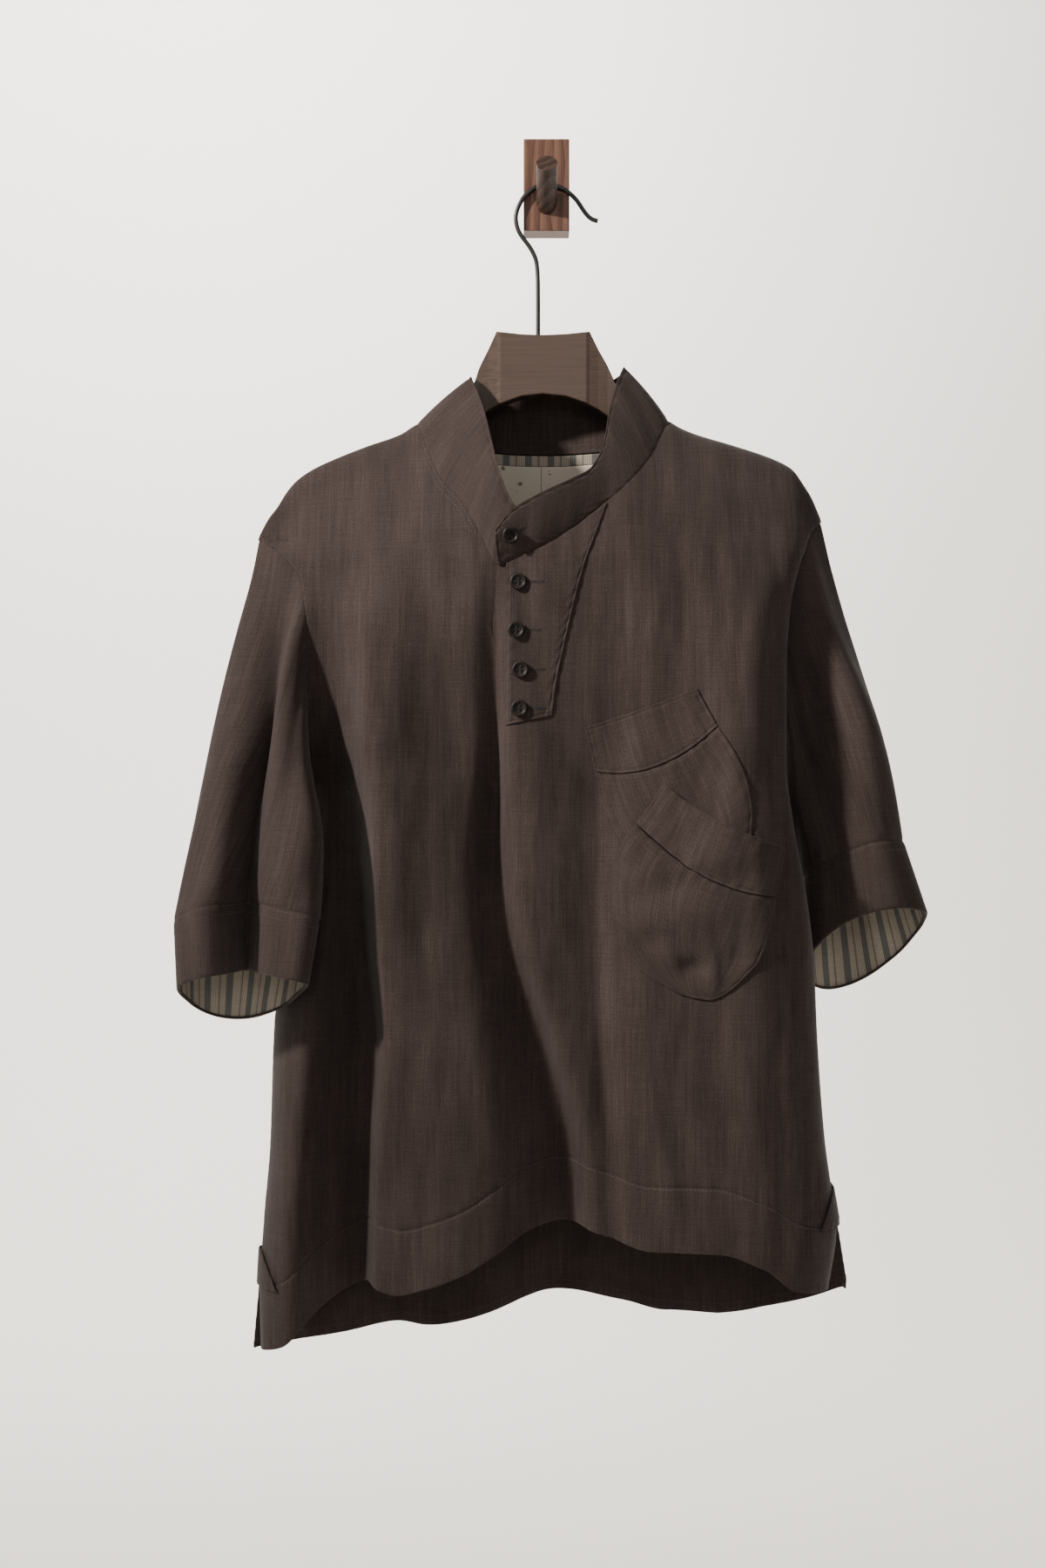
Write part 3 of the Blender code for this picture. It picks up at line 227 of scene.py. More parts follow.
# Short creases: from x, z to x, z, half width, how far forward; they fade in and out over 60 mm.
CREASE_FADE = 0.03
CREASES = metres(
    front=[(-13, -300, 2, -313, 6, -3), (-20, -338, -3, -347, 5.5, -2.4), (-20, -376, -6, -385, 5.5, -2),
           (-66, -330, -58, -470, 14, 3), (-128, -700, -136, -800, 12, 3), (86, -740, 106, -850, 10, 2.5),
           (150, -700, 158, -900, 12, -2.2), (-185, -290, -140, -400, 18, 2.2),
           (195, -300, 160, -420, 16, 2), (40, -560, 54, -760, 13, -2), (-70, -560, -62, -780, 14, -2),
           (10, -452, 60, -520, 10, -1.8), (190, -445, 205, -520, 8, 2.2)],
    back=[(-190, -420, -130, -330, 16, 3), (185, -410, 120, -325, 15, 2.8),
          (-100, -600, -112, -820, 14, -3), (95, -560, 100, -760, 13, -2.8), (0, -520, 6, -800, 16, 3),
          (-60, -260, 50, -266, 10, 1.5)])


def through(knots, values, at, ends_rise):
    """Smooth line through a table's points with no overshoot; it can have a column for each place."""
    step = np.diff(knots, axis=0)
    rise = np.diff(values, axis=0) / step
    slope = np.zeros(values.shape)
    if ends_rise:
        slope[0], slope[-1] = rise[0], rise[-1]
    product, total = rise[:-1] * rise[1:], rise[:-1] + rise[1:]
    slope[1:-1] = np.where(product > 0, 2 * product / np.where(total == 0, 1, total), 0.0)
    at = np.clip(at, knots[0], knots[-1])
    i = np.clip((knots <= at).sum(0) - 1, 0, len(step) - 1)
    column = np.arange(knots.shape[1])
    width = step[i, column]
    t = (at - knots[i, column]) / width
    return ((2 * t**3 - 3 * t**2 + 1) * values[i, column] + (t**3 - 2 * t**2 + t) * slope[i, column] * width
            + (3 * t**2 - 2 * t**3) * values[i + 1, column] + (t**3 - t**2) * slope[i + 1, column] * width)


def line_through(knots, values, at):
    """The smooth line through two columns of a table, read at many places."""
    knots, values = np.array(knots, float)[:, None], np.array(values, float)[:, None]
    if knots[0] > knots[-1]:
        knots, values = knots[::-1], values[::-1]
    return through(knots, values, at, True)


def mix(a, b, share):
    return a + (b - a) * share


def ease(value, start, end):
    t = np.clip((value - start) / (end - start), 0.0, 1.0)
    return t * t * (3 - 2 * t)


def hill(distance, half_width):
    return np.exp(-(distance / half_width) ** 2)


def ribs_depth(x, z):
    """The front's folds: smooth from rib to rib, each of which wanders with the height."""
    places, depths = (np.array([line_through(RIBS["z"], rib, z) for rib in zip(*RIBS[part])])
                      for part in ("x", "forward"))
    return through(places, depths, x, False)


def fold_depth(side, x, z):
    """How far forward a panel's folds and creases stand."""
    total = ribs_depth(x, z) if side == "front" else 0.0
    for fold in BACK_FOLDS if side == "back" else ():
        line, left, right, forward = (line_through(fold["z"], fold[part], z)
                                      for part in ("x", "left", "right", "forward"))
        total = total + forward * hill(x - line, np.where(x < line, left, right))
    for x0, z0, x1, z1, half_width, forward in CREASES[side]:
        length = math.hypot(x1 - x0, z1 - z0)
        along = ((x - x0) * (x1 - x0) + (z - z0) * (z1 - z0)) / length
        off = ((x - x0) * (z1 - z0) - (z - z0) * (x1 - x0)) / length
        ends = ease(along, -CREASE_FADE, CREASE_FADE) * (1 - ease(along, length - CREASE_FADE,
                                                                  length + CREASE_FADE))
        total = total + forward * ends * hill(off, half_width)
    return total


def ripple(x, z):
    """The small unevenness of worn linen: long upright waves, under a millimetre."""
    total = 0.0
    for width, height, size, phase in ((0.071, 0.31, 0.00075, 0.4), (0.043, 0.23, 0.00055, 2.1),
                                       (0.027, 0.17, 0.00034, 4.0), (0.0163, 0.11, 0.00018, 5.3)):
        wander = 1.3 * np.sin(2 * math.pi * z / height + phase)
        total = total + size * np.sin(2 * math.pi * x / width + wander + phase) * (
            0.65 + 0.35 * np.sin(2 * math.pi * z / (0.6 * height) + 2 * phase))
    return total


def edge_line(arm, side, axis, z):
    """Where a panel's edge runs on one side of the shirt, in x or in y."""
    return line_through(EDGE[arm]["z"], EDGE[arm][side + "_" + axis], z)


def panel_depth(side, x, z):
    """The y of a panel's middle surface at places seen from the front."""
    (left_x, left_y), (right_x, right_y) = ([edge_line(arm, side, axis, z) for axis in "xy"]
                                            for arm in ("left", "right"))
    across = np.clip((x - left_x) / (right_x - left_x), 0.0, 1.0)
    power = np.where(across < 0.5, LEFT_ROUNDNESS, RIGHT_ROUNDNESS)
    rounded = (1 - np.abs(2 * across - 1) ** power) ** (1 / power)
    drop = line_through(RIDGE["x"], RIDGE["z"], x) - z
    stand_off = line_through(HANG["drop"], HANG[side], drop)
    sign = -1 if side == "front" else 1
    waves = fold_depth(side, x, z) + ripple(x, z) * ease(drop, 0.01, 0.08)
    return (mix(mix(left_y, right_y, across), SHOULDER_SEAM_Y + sign * stand_off, rounded)
            + sign * SIDE_SEAM_GAP - waves * (1 - (1 - rounded) ** 4))


def column_share(across):
    """Spreads the columns of a panel so that they stand closer at its sides."""
    return across - 0.6 * np.sin(2 * math.pi * across) / (2 * math.pi)


def row_share(down):
    """Spreads the rows of a panel so that they stand closer at its top."""
    return down * down * (2 - down)


def panel_top(side, across):
    """A panel's upper edge: shoulder, neckline, shoulder."""
    rows = NECK[side]
    shoulder_x = line_through(SHOULDER["across"], SHOULDER["x"], across)
    at_neck = (across > NECK_START) & (across < NECK_END)
    x = np.where(at_neck, line_through(rows["across"], rows["x"], across), shoulder_x)
    z = np.where(at_neck, line_through(rows["across"], rows["z"], across),
                 line_through(RIDGE["x"], RIDGE["z"], shoulder_x))
    return x, z


def panel_point(side, across, down):
    """Places on a panel: across from its left edge, down from its shoulders to its hem."""
    share = column_share(across)
    top_x, top_z = panel_top(side, across)
    z = mix(top_z, line_through(HEM[side]["across"], HEM[side]["z"], share), down)

    def spread(level):
        return mix(edge_line("left", side, "x", level), edge_line("right", side, "x", level), share)

    x = spread(z) + (top_x - spread(top_z)) * (1 - down) ** 5
    return np.stack([x, panel_depth(side, x, z), z], 1)


def band_line(across):
    """How far down the front its hem band starts."""
    top_z = panel_top("front", across)[1]
    hem_z = line_through(HEM["front"]["across"], HEM["front"]["z"], column_share(across))
    return (top_z - hem_z - HEM_BAND_HEIGHT) / (top_z - hem_z)


nets = {}    # each cloth piece's grid of points, its normals and distances from its edges, for the sewing


def round_edges(piece, width, segments, degrees):
    edge = piece.modifiers.new("rounded_edges", "BEVEL")
    edge.width, edge.segments, edge.limit_method = width, segments, "ANGLE"
    edge.angle_limit = math.radians(degrees)


def cloth(name, point, columns, rows, material, faces_out, thickness=LINEN_THICK, tube=False,
          grain="upright", seams=(), stitched=(), stitch_at=0.003):
    """A piece of cloth around the surface point(across, down), with its thread lengths as its UV map.

    An edge in seams turns in a little where it is sewn, and one in stitched has a groove under its
    topstitching; both pucker. The grain is upright, runs down a tube, or follows a piece cut at a slant.
    """
    grid = bmesh.new()
    bmesh.ops.create_grid(grid, x_segments=columns, y_segments=rows, size=0.5)
    mesh = bpy.data.meshes.new(name)
    grid.to_mesh(mesh)
    grid.free()
    flat = np.empty(len(mesh.vertices) * 3)
    mesh.vertices.foreach_get("co", flat)
    across, down = (np.clip(flat.reshape(-1, 3)[:, axis] + 0.5, 0.0, 1.0) for axis in (0, 1))
    column, row = np.rint(across * columns).astype(int), np.rint(down * rows).astype(int)
    net = np.empty((rows + 1, columns + 1, 3))
    net[row, column] = point(across, down) + DATUM

    run = np.zeros((rows + 1, columns + 1))
    fall = np.zeros((rows + 1, columns + 1))
    run[:, 1:] = np.cumsum(np.linalg.norm(np.diff(net, axis=1), axis=2), axis=1)
    fall[1:] = np.cumsum(np.linalg.norm(np.diff(net, axis=0), axis=2), axis=0)
    normal = np.cross(np.gradient(net, axis=1), np.gradient(net, axis=0))
    normal /= np.maximum(np.linalg.norm(normal, axis=2), 1e-12)[..., None]
    if not faces_out:
        normal = -normal
    away = dict(left=run, right=run[:, -1:] - run, top=fall, bottom=fall[-1:] - fall)
    relief = np.zeros(run.shape)
    for edges, line, groove, groove_width, pucker, pucker_width, wave, drift in (
            (seams, 0.0, 0.0008, 0.0022, 0.00022, 0.007, 0.0019, 0.013),
            (stitched, stitch_at, 0.00045, 0.0008, 0.0002, 0.005, 0.0021, 0.017)):
        for edge in edges:
            off, along = away[edge] - line, fall if edge in ("left", "right") else run
            relief -= groove * hill(off, groove_width)
            relief += pucker * hill(off, pucker_width) * np.sin(along / wave + 2 * np.sin(along / drift))
    if tube:
        relief[:, -1] = relief[:, 0]
        normal[:, 0] = normal[:, -1] = (normal[:, 0] + normal[:, -1]) / 2
    net = net + normal * relief[..., None]
    nets[name] = (net, normal, away)

    mesh.vertices.foreach_set("co", net[row, column].ravel())
    corner = np.empty(len(mesh.loops), int)
    mesh.loops.foreach_get("vertex_index", corner)
    from_middle = (run - run[:, columns // 2, None]).mean(0)
    threads = np.stack([net[row, column, 0] if grain == "upright" else from_middle[column],
                        -fall[row, column] if grain == "slant" else net[row, column, 2]], 1)
    layer = mesh.uv_layers.new(name="threads")
    layer.data.foreach_set("uv", threads[corner].ravel())
    if not faces_out:
        mesh.flip_normals()
    if tube:
        closed = bmesh.new()
        closed.from_mesh(mesh)
        bmesh.ops.remove_doubles(closed, verts=closed.verts, dist=0.00005)
        closed.to_mesh(mesh)
        closed.free()
    mesh.shade_smooth()
    mesh.update()
    mesh.materials.append(material)
    piece = placed(name, mesh)
    wall = piece.modifiers.new("thickness", "SOLIDIFY")
    wall.thickness = thickness
    wall.offset = 0.0
    round_edges(piece, thickness * 0.42, 2, 60)
    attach(piece, "root")
    return piece


def threads_of(tree, along, across, detail=2.0, shift=0.0):
    """Noise stretched along the threads: its size along the warp and across it, in metres."""
    uv = node(tree, "UVMap", uv_map="threads").outputs[0]
    place = node(tree, "Mapping", {0: uv, "Scale": (1 / across, 1 / along, 1.0),
                                   "Location": (shift, 0.0, 0.0)}).outputs[0]
    return node(tree, "TexNoise", {"Vector": place, "Scale": 1.0, "Detail": detail,
                                   "Roughness": 0.6}).outputs[0]


def weighted(tree, *terms):
    """The sum of sockets, each times its weight."""
    total = None
    for socket, weight in terms:
        inputs = {0: socket, 1: weight}
        if total is None:
            total = node(tree, "Math", inputs, operation="MULTIPLY").outputs[0]
        else:
            total = node(tree, "Math", {**inputs, 2: total}, operation="MULTIPLY_ADD").outputs[0]
    return total


def ramp(tree, socket, *stops, sharp=False):
    """A colour ramp with (place, colour) stops, smooth or with sharp steps."""
    made = node(tree, "ValToRGB", {0: socket})
    line = made.color_ramp
    line.interpolation = "CONSTANT" if sharp else "LINEAR"
    while len(line.elements) < len(stops):
        line.elements.new(0.5)
    for element, (place, colour) in zip(line.elements, stops):
        element.position = place
        element.color = (*colour, 1.0)
    return made.outputs[0]


def weave(tree, pitch):
    """Height of a plain weave, from the threads' UV map."""
    uv = node(tree, "SeparateXYZ", {0: node(tree, "UVMap", uv_map="threads").outputs[0]})
    waves = [node(tree, "Math", {0: node(tree, "Math", {0: uv.outputs[axis], 1: 2 * math.pi / pitch},
                                         operation="MULTIPLY").outputs[0]}, operation="SINE").outputs[0]
             for axis in (0, 1)]
    return node(tree, "Math", {0: waves[0], 1: waves[1]}, operation="MULTIPLY").outputs[0]


def finish(tree, shader, colour, height, depth, strength=0.5):
    """Join a colour and a relief, a height with its depth in metres, to the shader."""
    tree.links.new(colour, shader.inputs["Base Color"])
    bump = node(tree, "Bump", {"Height": height, "Strength": strength, "Distance": depth})
    tree.links.new(bump.outputs[0], shader.inputs["Normal"])


def linen(name, darkest, dark, light, lightest):
    """Yarn-dyed linen: uneven threads both ways, slubs, a faint cloudiness and a plain weave."""
    material, tree, shader = plain(name, dark, 0.86, Sheen_Weight=0.1, Sheen_Roughness=0.45,
                                   Specular_IOR_Level=0.25)
    warp = threads_of(tree, 0.04, 0.0009, 3.0)
    wide_warp = threads_of(tree, 0.16, 0.0042, 3.0, shift=3.7)
    weft = threads_of(tree, 0.0011, 0.03, 3.0, shift=9.1)
    fleck = threads_of(tree, 0.0016, 0.0012, 1.0, shift=5.3)
    cloud = threads_of(tree, 0.11, 0.035, 4.0, shift=1.9)
    tone = weighted(tree, (warp, 0.26), (wide_warp, 0.14), (weft, 0.15), (fleck, 0.2), (cloud, 0.25))
    colour = ramp(tree, tone, (0.41, darkest), (0.475, dark), (0.53, light), (0.6, lightest))
    height = weighted(tree, (weave(tree, 0.00072), 0.1), (warp, 0.5), (weft, 0.4), (fleck, 0.5))
    finish(tree, shader, colour, height, 0.0006, 0.55)
    return material


shirt_linen = linen("shirt_linen", (0.028, 0.0185, 0.016), (0.04, 0.0275, 0.024),
                    (0.05, 0.0355, 0.0312), (0.068, 0.05, 0.045))


def front_point(across, down):
    return panel_point("front", across, band_line(across) * row_share(down))


front = cloth("shirt_front", front_point, 180, 250, shirt_linen, False,
              seams=("left", "right", "bottom"))
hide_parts("front")

# ------------------------------------------------------------------ front hem band
# A shaped band of the same linen, 54 mm deep, cut on the curve of the hem and sewn
# to the front with one flat seam that shows as a fine ridge with lighter thread.


def hem_band_point(across, down):
    return panel_point("front", across, mix(band_line(across), 1.0, down))


hem_band = cloth("shirt_front_hem_band", hem_band_point, 180, 20, shirt_linen, False,
                 seams=("top",), stitched=("bottom",), stitch_at=0.004)
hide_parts("front_hem_band")

# ------------------------------------------------------------------ back panel
# One longer panel of the same linen. Its hem drops below the front's, with an
# edge-stitched turning that shows inside, and it hangs in long folds to the wall side.


def back_point(across, down):
    return panel_point("back", across, row_share(down))


back = cloth("shirt_back", back_point, 140, 190, shirt_linen, True, seams=("left", "right"),
             stitched=("bottom",), stitch_at=0.008)
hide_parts("back")

# ------------------------------------------------------------------ sleeves
# Two dropped sleeves of the same linen, each sewn round its armhole and narrowing
# to the cuff seam. The left one is pressed into a sharp crease down its front.
# A cuff's upper and lower ends: the places of its outer, front, inner and rear points.
CUFF_TOP = metres(
    left=((-309, -95, -608), (-256, -142, -587), (-197, -106, -607), (-257, -58, -633)),
    right=((302, -50, -544), (257, -88, -545), (220.5, -38, -578), (262, -9, -592)))
CUFF_END = metres(
    left=((-306, -100, -663), (-256, -146, -645), (-206, -110, -660), (-262, -57, -690)),
    right=((324, -48, -608), (264, -90, -601), (226.5, -38, -648), (270, -9, -665)))
ARMHOLE_TUCK = 0.0015   # how far a sleeve's top reaches in under the panels' edges
PRESS_DIRECTION = (0.45, 1.0, 0.0)   # creases go in mostly towards the wall, less from the side
# Creases: their place round the sleeve (0 outer, 0.25 front, 0.5 inner) at the armhole and at the
# cuff, half widths before and after it, and how far in each goes near the armhole, halfway and at the cuff.
SLEEVE_CREASES = dict(
    left=[(0.0, 0.03, 0.07, 0.05, -0.004, -0.006, -0.002), (0.04, 0.285, 0.06, 0.075, 0.013, 0.036, 0.05),
          (0.38, 0.43, 0.07, 0.08, -0.01, -0.024, -0.016), (0.68, 0.68, 0.05, 0.05, 0.002, 0.006, 0.008)],
    right=[(0.0, 0.0, 0.12, 0.12, -0.001, -0.003, 0.0), (0.1, 0.09, 0.07, 0.09, -0.005, -0.02, -0.01),
           (0.31, 0.31, 0.06, 0.05, 0.003, 0.008, 0.009), (0.84, 0.84, 0.05, 0.05, 0.002, 0.006, 0.006)])


def armhole_point(arm, around):
    """Round an armhole: 0 shoulder tip, 0.25 front, 0.5 underarm, 0.75 back."""
    front_half = around <= 0.5
    share = np.where(front_half, 2 * around, 2 * (1 - around)) ** 1.3
    z = mix(EDGE[arm]["z"][0], UNDERARM_Z[arm], share)
    x, y = (np.where(front_half, edge_line(arm, "front", axis, z), edge_line(arm, "back", axis, z))
            for axis in "xy")
    return np.stack([x, y, z], 1)


def ring_point(ring, around):
    """Round the four points of an end of the cuff."""
    outer, facing, inner, rear = (np.array(point) for point in ring)
    angle = (2 * math.pi * around)[:, None]
    middle = (outer + facing + inner + rear) / 4
    twist = (outer + inner - facing - rear) / 4
    return (middle + (outer - inner) / 2 * np.cos(angle) + (facing - rear) / 2 * np.sin(angle)
            + twist * np.cos(2 * angle))


def pressed(arm, point, ring, around, down):
    """Points of a sleeve, moved towards its middle where creases run; the cuff is at down = 1."""
    inward = np.array(ring).mean(0) - ring_point(ring, around)
    inward *= PRESS_DIRECTION
    inward /= np.linalg.norm(inward, axis=1)[:, None]
    push = 0.0
    for at_armhole, at_cuff, before, after, *depths in SLEEVE_CREASES[arm]:
        apart = (around - mix(at_armhole, at_cuff, down) + 0.5) % 1.0 - 0.5
        depth = line_through((0.0, 0.25, 0.6, 1.0), (0.0, *depths), down)
        push = push + depth * hill(apart, np.where(apart < 0, before, after))
    angle = 2 * math.pi * around
    wrinkles = (0.001 * np.sin(3 * angle + 5 * down) + 0.0007 * np.sin(7 * angle + 9 * down + 1.0)
                + 0.0005 * np.sin(11 * angle - 6 * down)) * ease(down, 0.0, 0.15)
    return point + inward * (push + wrinkles)[:, None]


def sleeve_surface(arm):
    def point(around, down):
        start = armhole_point(arm, around)
        start[:, 0] -= np.sign(start[:, 0]) * ARMHOLE_TUCK
        end = ring_point(CUFF_TOP[arm], around)
        return pressed(arm, mix(start, end, down[:, None]), CUFF_TOP[arm], around, down)
    return point


for arm, faces_out in (("left", False), ("right", True)):
    sleeve = cloth("shirt_sleeve_" + arm, sleeve_surface(arm), 120, 130, shirt_linen, faces_out,
                   tube=True, grain="tube", seams=("top", "bottom"))
    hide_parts("sleeve_" + arm)

# ------------------------------------------------------------------ cuffs
# Deep cuffs of the same linen with two rows of stitching along their seam, lined
# with striped cotton ticking. The cuff's end is rolled in over the lining's.
EDGE_ROLL = 0.0013      # radius of that roll
ROLL_START, ROLL_ANGLE = 0.9, math.radians(215)
LINING_THICK = 0.0009


def cuff_ring(arm, around, down):
    """Round a cuff at a level between its ends, with the sleeve's creases in it."""
    ring = mix(np.array(CUFF_TOP[arm]), np.array(CUFF_END[arm]), 0.5)
    flat = mix(ring_point(CUFF_TOP[arm], around), ring_point(CUFF_END[arm], around), down[:, None])
    return pressed(arm, flat, ring, around, np.ones_like(around))


def cuff_surface(arm, start=0.0, end=1.0, inset=0.0, rolled=False):
    """A level of the cuff from start to end; rolled turns its last tenth in."""
    def point(around, down):
        level = mix(start, end, np.minimum(down / ROLL_START, 1.0) if rolled else down)
        here = cuff_ring(arm, around, level)
        step = 0.01
        along = cuff_ring(arm, around + step, level) - cuff_ring(arm, around - step, level)
        downward = cuff_ring(arm, around, level + step) - cuff_ring(arm, around, level - step)
        downward /= np.linalg.norm(downward, axis=1)[:, None]
        inward = np.cross(along, downward) * (1 if arm == "left" else -1)
        inward /= np.linalg.norm(inward, axis=1)[:, None]
        turn = np.maximum(down / ROLL_START - 1.0, 0.0)[:, None] * 9 * ROLL_ANGLE if rolled else 0.0
        return (here + inward * (inset + EDGE_ROLL * (1 - np.cos(turn)))
                + downward * EDGE_ROLL * np.sin(turn))
    return point


BAND_REPEAT, PIN_REPEAT = 0.0195, 0.00165     # widths of the ticking's repeats


def ticking(name):
    """Cotton ticking: narrow blue-grey and taupe stripes on cream, with a fine cross weave."""
    material, tree, shader = plain(name, (0.55, 0.51, 0.44), 0.8, Sheen_Weight=0.05,
                                   Specular_IOR_Level=0.25)
    uv = node(tree, "UVMap", uv_map="threads").outputs[0]
    across = node(tree, "SeparateXYZ", {0: uv}).outputs[0]
    wander = threads_of(tree, 0.03, 0.05, 1.0)
    place = weighted(tree, (across, 1 / BAND_REPEAT), (wander, 0.03))
    phase = node(tree, "Math", {0: place}, operation="FRACT").outputs[0]
    cream, cool, warm = (0.6, 0.54, 0.45), (0.235, 0.235, 0.225), (0.33, 0.29, 0.25)
    bands = ramp(tree, phase, (0.0, cream), (0.06, cool), (0.36, cream), (0.62, warm), (0.7, cream),
                 sharp=True)
    fine = node(tree, "Math", {0: weighted(tree, (across, 1 / PIN_REPEAT))}, operation="FRACT").outputs[0]
    pins = ramp(tree, fine, (0.0, (1.0, 1.0, 1.0)), (0.58, (0.72, 0.68, 0.63)), (0.96, (1.0, 1.0, 1.0)),
                sharp=True)
    stripes = node(tree, "Mix", {"Factor": 1.0, 6: bands, 7: pins}, data_type="RGBA",
                   blend_type="MULTIPLY").outputs[2]
    grain = weighted(tree, (threads_of(tree, 0.02, 0.0008), 0.5), (threads_of(tree, 0.0008, 0.02), 0.5))
    shade = ramp(tree, grain, (0.35, (0.78, 0.77, 0.75)), (0.65, (1.0, 1.0, 1.0)))
    colour = node(tree, "Mix", {"Factor": 1.0, 6: stripes, 7: shade}, data_type="RGBA", blend_type="MULTIPLY")
    finish(tree, shader, colour.outputs[2], weighted(tree, (weave(tree, 0.0006), 0.25), (grain, 0.8)), 0.0005)
    return material


striped_ticking = ticking("striped_ticking")
for arm, faces_out in (("left", False), ("right", True)):
    cuff = cloth("shirt_cuff_" + arm, cuff_surface(arm, end=0.978, rolled=True), 120, 40, shirt_linen,
                 faces_out, tube=True, grain="tube", seams=("top",))
    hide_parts("cuff_" + arm)
    lining = cloth("shirt_cuff_lining_" + arm, cuff_surface(arm, 0.02, 0.985, 0.00125), 120, 20,
                   striped_ticking, faces_out, thickness=LINING_THICK, tube=True, grain="tube")
    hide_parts("cuff_lining_" + arm)

# ------------------------------------------------------------------ stand collar
# One band of the linen, folded double, sewn to the neckline and standing up from it. Its
# rounded right end laps over the left one and buttons there; an edge stitch runs all round.
COLLAR_ROWS = dict(
    left_front=metres(
        along=[0, 0.05, 0.12, 0.17, 0.22, 0.27],
        seam=[0.463, 0.44, 0.407, 0.37, 0.315, 0.25],
        x=[-18, -27, -41, -46, -52.5, -63],
        y=[-110, -107, -98, -86, -68, -48],
        z=[-264, -254.5, -220, -198, -168, -138]),
    back=metres(
        along=[0.27, 0.31, 0.35, 0.41, 0.47, 0.51, 0.55],
        seam=[0.25, 0.3, 0.37, 0.5, 0.63, 0.7, 0.75],
        x=[-63, -65, -50, -2, 46, 66, 68],
        y=[-48, -26, -13, -8, -13, -26, -48],
        z=[-138, -137, -141, -146, -140, -132, -130]),
    right_front=metres(
        along=[0.55, 0.6, 0.65, 0.7, 0.76, 0.82, 0.9, 0.96, 1],
        seam=[0.75, 0.715, 0.68, 0.645, 0.605, 0.565, 0.515, 0.479, 0.455],
        x=[68, 60.5, 53.5, 48.5, 38, 21, -5, -29, -42.5],
        y=[-48, -64, -76, -90, -102, -111, -118.5, -122.5, -123.5],
        z=[-130, -148, -172, -202, -224, -234.5, -247.5, -262, -279]))
COLLAR_THICK, COLLAR_TUCK, COLLAR_SWELL, COLLAR_OVERLAP = 0.0015, 0.0015, 0.0025, 0.0026
COLLAR_LENGTH = 0.6
OVERLAP_START, OVERLAP_END = 0.86, 0.97     # where along the band it moves forward to lap over
NECK_MIDDLE = np.array((-0.002, -0.05))


def collar_point(along, up):
    """Places on the band: along from its left end, up from the neckline."""
    base, top = np.zeros((len(along), 3)), np.zeros((len(along), 3))
    back_start, back_end = COLLAR_ROWS["back"]["along"][[0, -1]]
    parts = np.where(along <= back_start, 0, np.where(along < back_end, 1, 2))
    for number, (rows, side) in enumerate(zip(COLLAR_ROWS.values(), ("front", "back", "front"))):
        part = parts == number
        if not part.any():
            continue
        seam = line_through(rows["along"], rows["seam"], along[part])
        base[part] = panel_point(side, seam, np.zeros(part.sum()))
        top[part] = np.stack([line_through(rows["along"], rows[axis], along[part]) for axis in "xyz"], 1)
    base[:, 1] -= ease(along, OVERLAP_START, OVERLAP_END) * COLLAR_OVERLAP
    share = mix(-COLLAR_TUCK / np.linalg.norm(top - base, axis=1), 1.0, up)
    outward = (base + top)[:, :2] / 2 - NECK_MIDDLE
    outward /= np.linalg.norm(outward, axis=1)[:, None]
    swell = COLLAR_SWELL * 4 * share * (1 - share) + 0.0006 * np.sin(31 * along) * share
    point = mix(base, top, share[:, None])
    point[:, :2] += outward * swell[:, None]
    return point


collar = cloth("shirt_collar", collar_point, 260, 44, shirt_linen, False,
               thickness=COLLAR_THICK, grain="slant", seams=("top",), stitched=("bottom", "right"))
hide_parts("collar")

# ------------------------------------------------------------------ back neck lining
# Cotton sewn inside the back's neck: a narrow striped strip along the seam, and below it
# a sage panel and a cream one, printed with small sprigs.
LINING_LIFT, LINING_BOTTOM_Z = 0.0018, -0.305


def off_panel(side, x, z, lift):
    """Places moved forward from a panel, square to it."""
    step = 0.002
    here = panel_depth(side, x, z)
    forward = np.stack([(panel_depth(side, x + step, z) - here) / step, -np.ones_like(x),
                        (panel_depth(side, x, z - step) - here) / -step], 1)
    forward /= np.linalg.norm(forward, axis=1)[:, None]
    return np.stack([x, here, z], 1) + forward * np.reshape(lift, (-1, 1))


def lining_patch(left_x, right_x, top_drop, bottom_drop=None):
    """A patch inside the back, from one drop below the neckline to another, or to the lining's end."""
    def point(across, down):
        x = mix(left_x, right_x, across)
        top_z = line_through(NECK["back"]["x"], NECK["back"]["z"], x)
        bottom_z = LINING_BOTTOM_Z if bottom_drop is None else top_z - bottom_drop
        return off_panel("back", x, mix(top_z - top_drop, bottom_z, down), LINING_LIFT)
    return point


def sprigged(name, ground, sprig):
    """Printed cotton: small scattered sprigs on a plain ground."""
    material, tree, shader = plain(name, ground, 0.8, Sheen_Weight=0.05, Specular_IOR_Level=0.25)
    uv = node(tree, "UVMap", uv_map="threads").outputs[0]
    dots = node(tree, "TexVoronoi", {"Vector": uv, "Scale": 95.0, "Randomness": 0.8})
    leaves = node(tree, "TexVoronoi", {"Vector": uv, "Scale": 210.0, "Randomness": 1.0})
    near, leaf = (
        node(tree, "Math", {0: cells.outputs["Distance"], 1: reach}, operation="LESS_THAN").outputs[0]
        for cells, reach in ((dots, 0.3), (leaves, 0.42)))
    mask = node(tree, "Math", {0: near, 1: leaf}, operation="MULTIPLY").outputs[0]
    colour = node(tree, "Mix", {"Factor": mask, 6: (*ground, 1), 7: (*sprig, 1)}, data_type="RGBA")
    height = weighted(tree, (weave(tree, 0.0006), 0.3), (threads_of(tree, 0.01, 0.0008), 0.7))
    finish(tree, shader, colour.outputs[2], height, 0.0004)
    return material


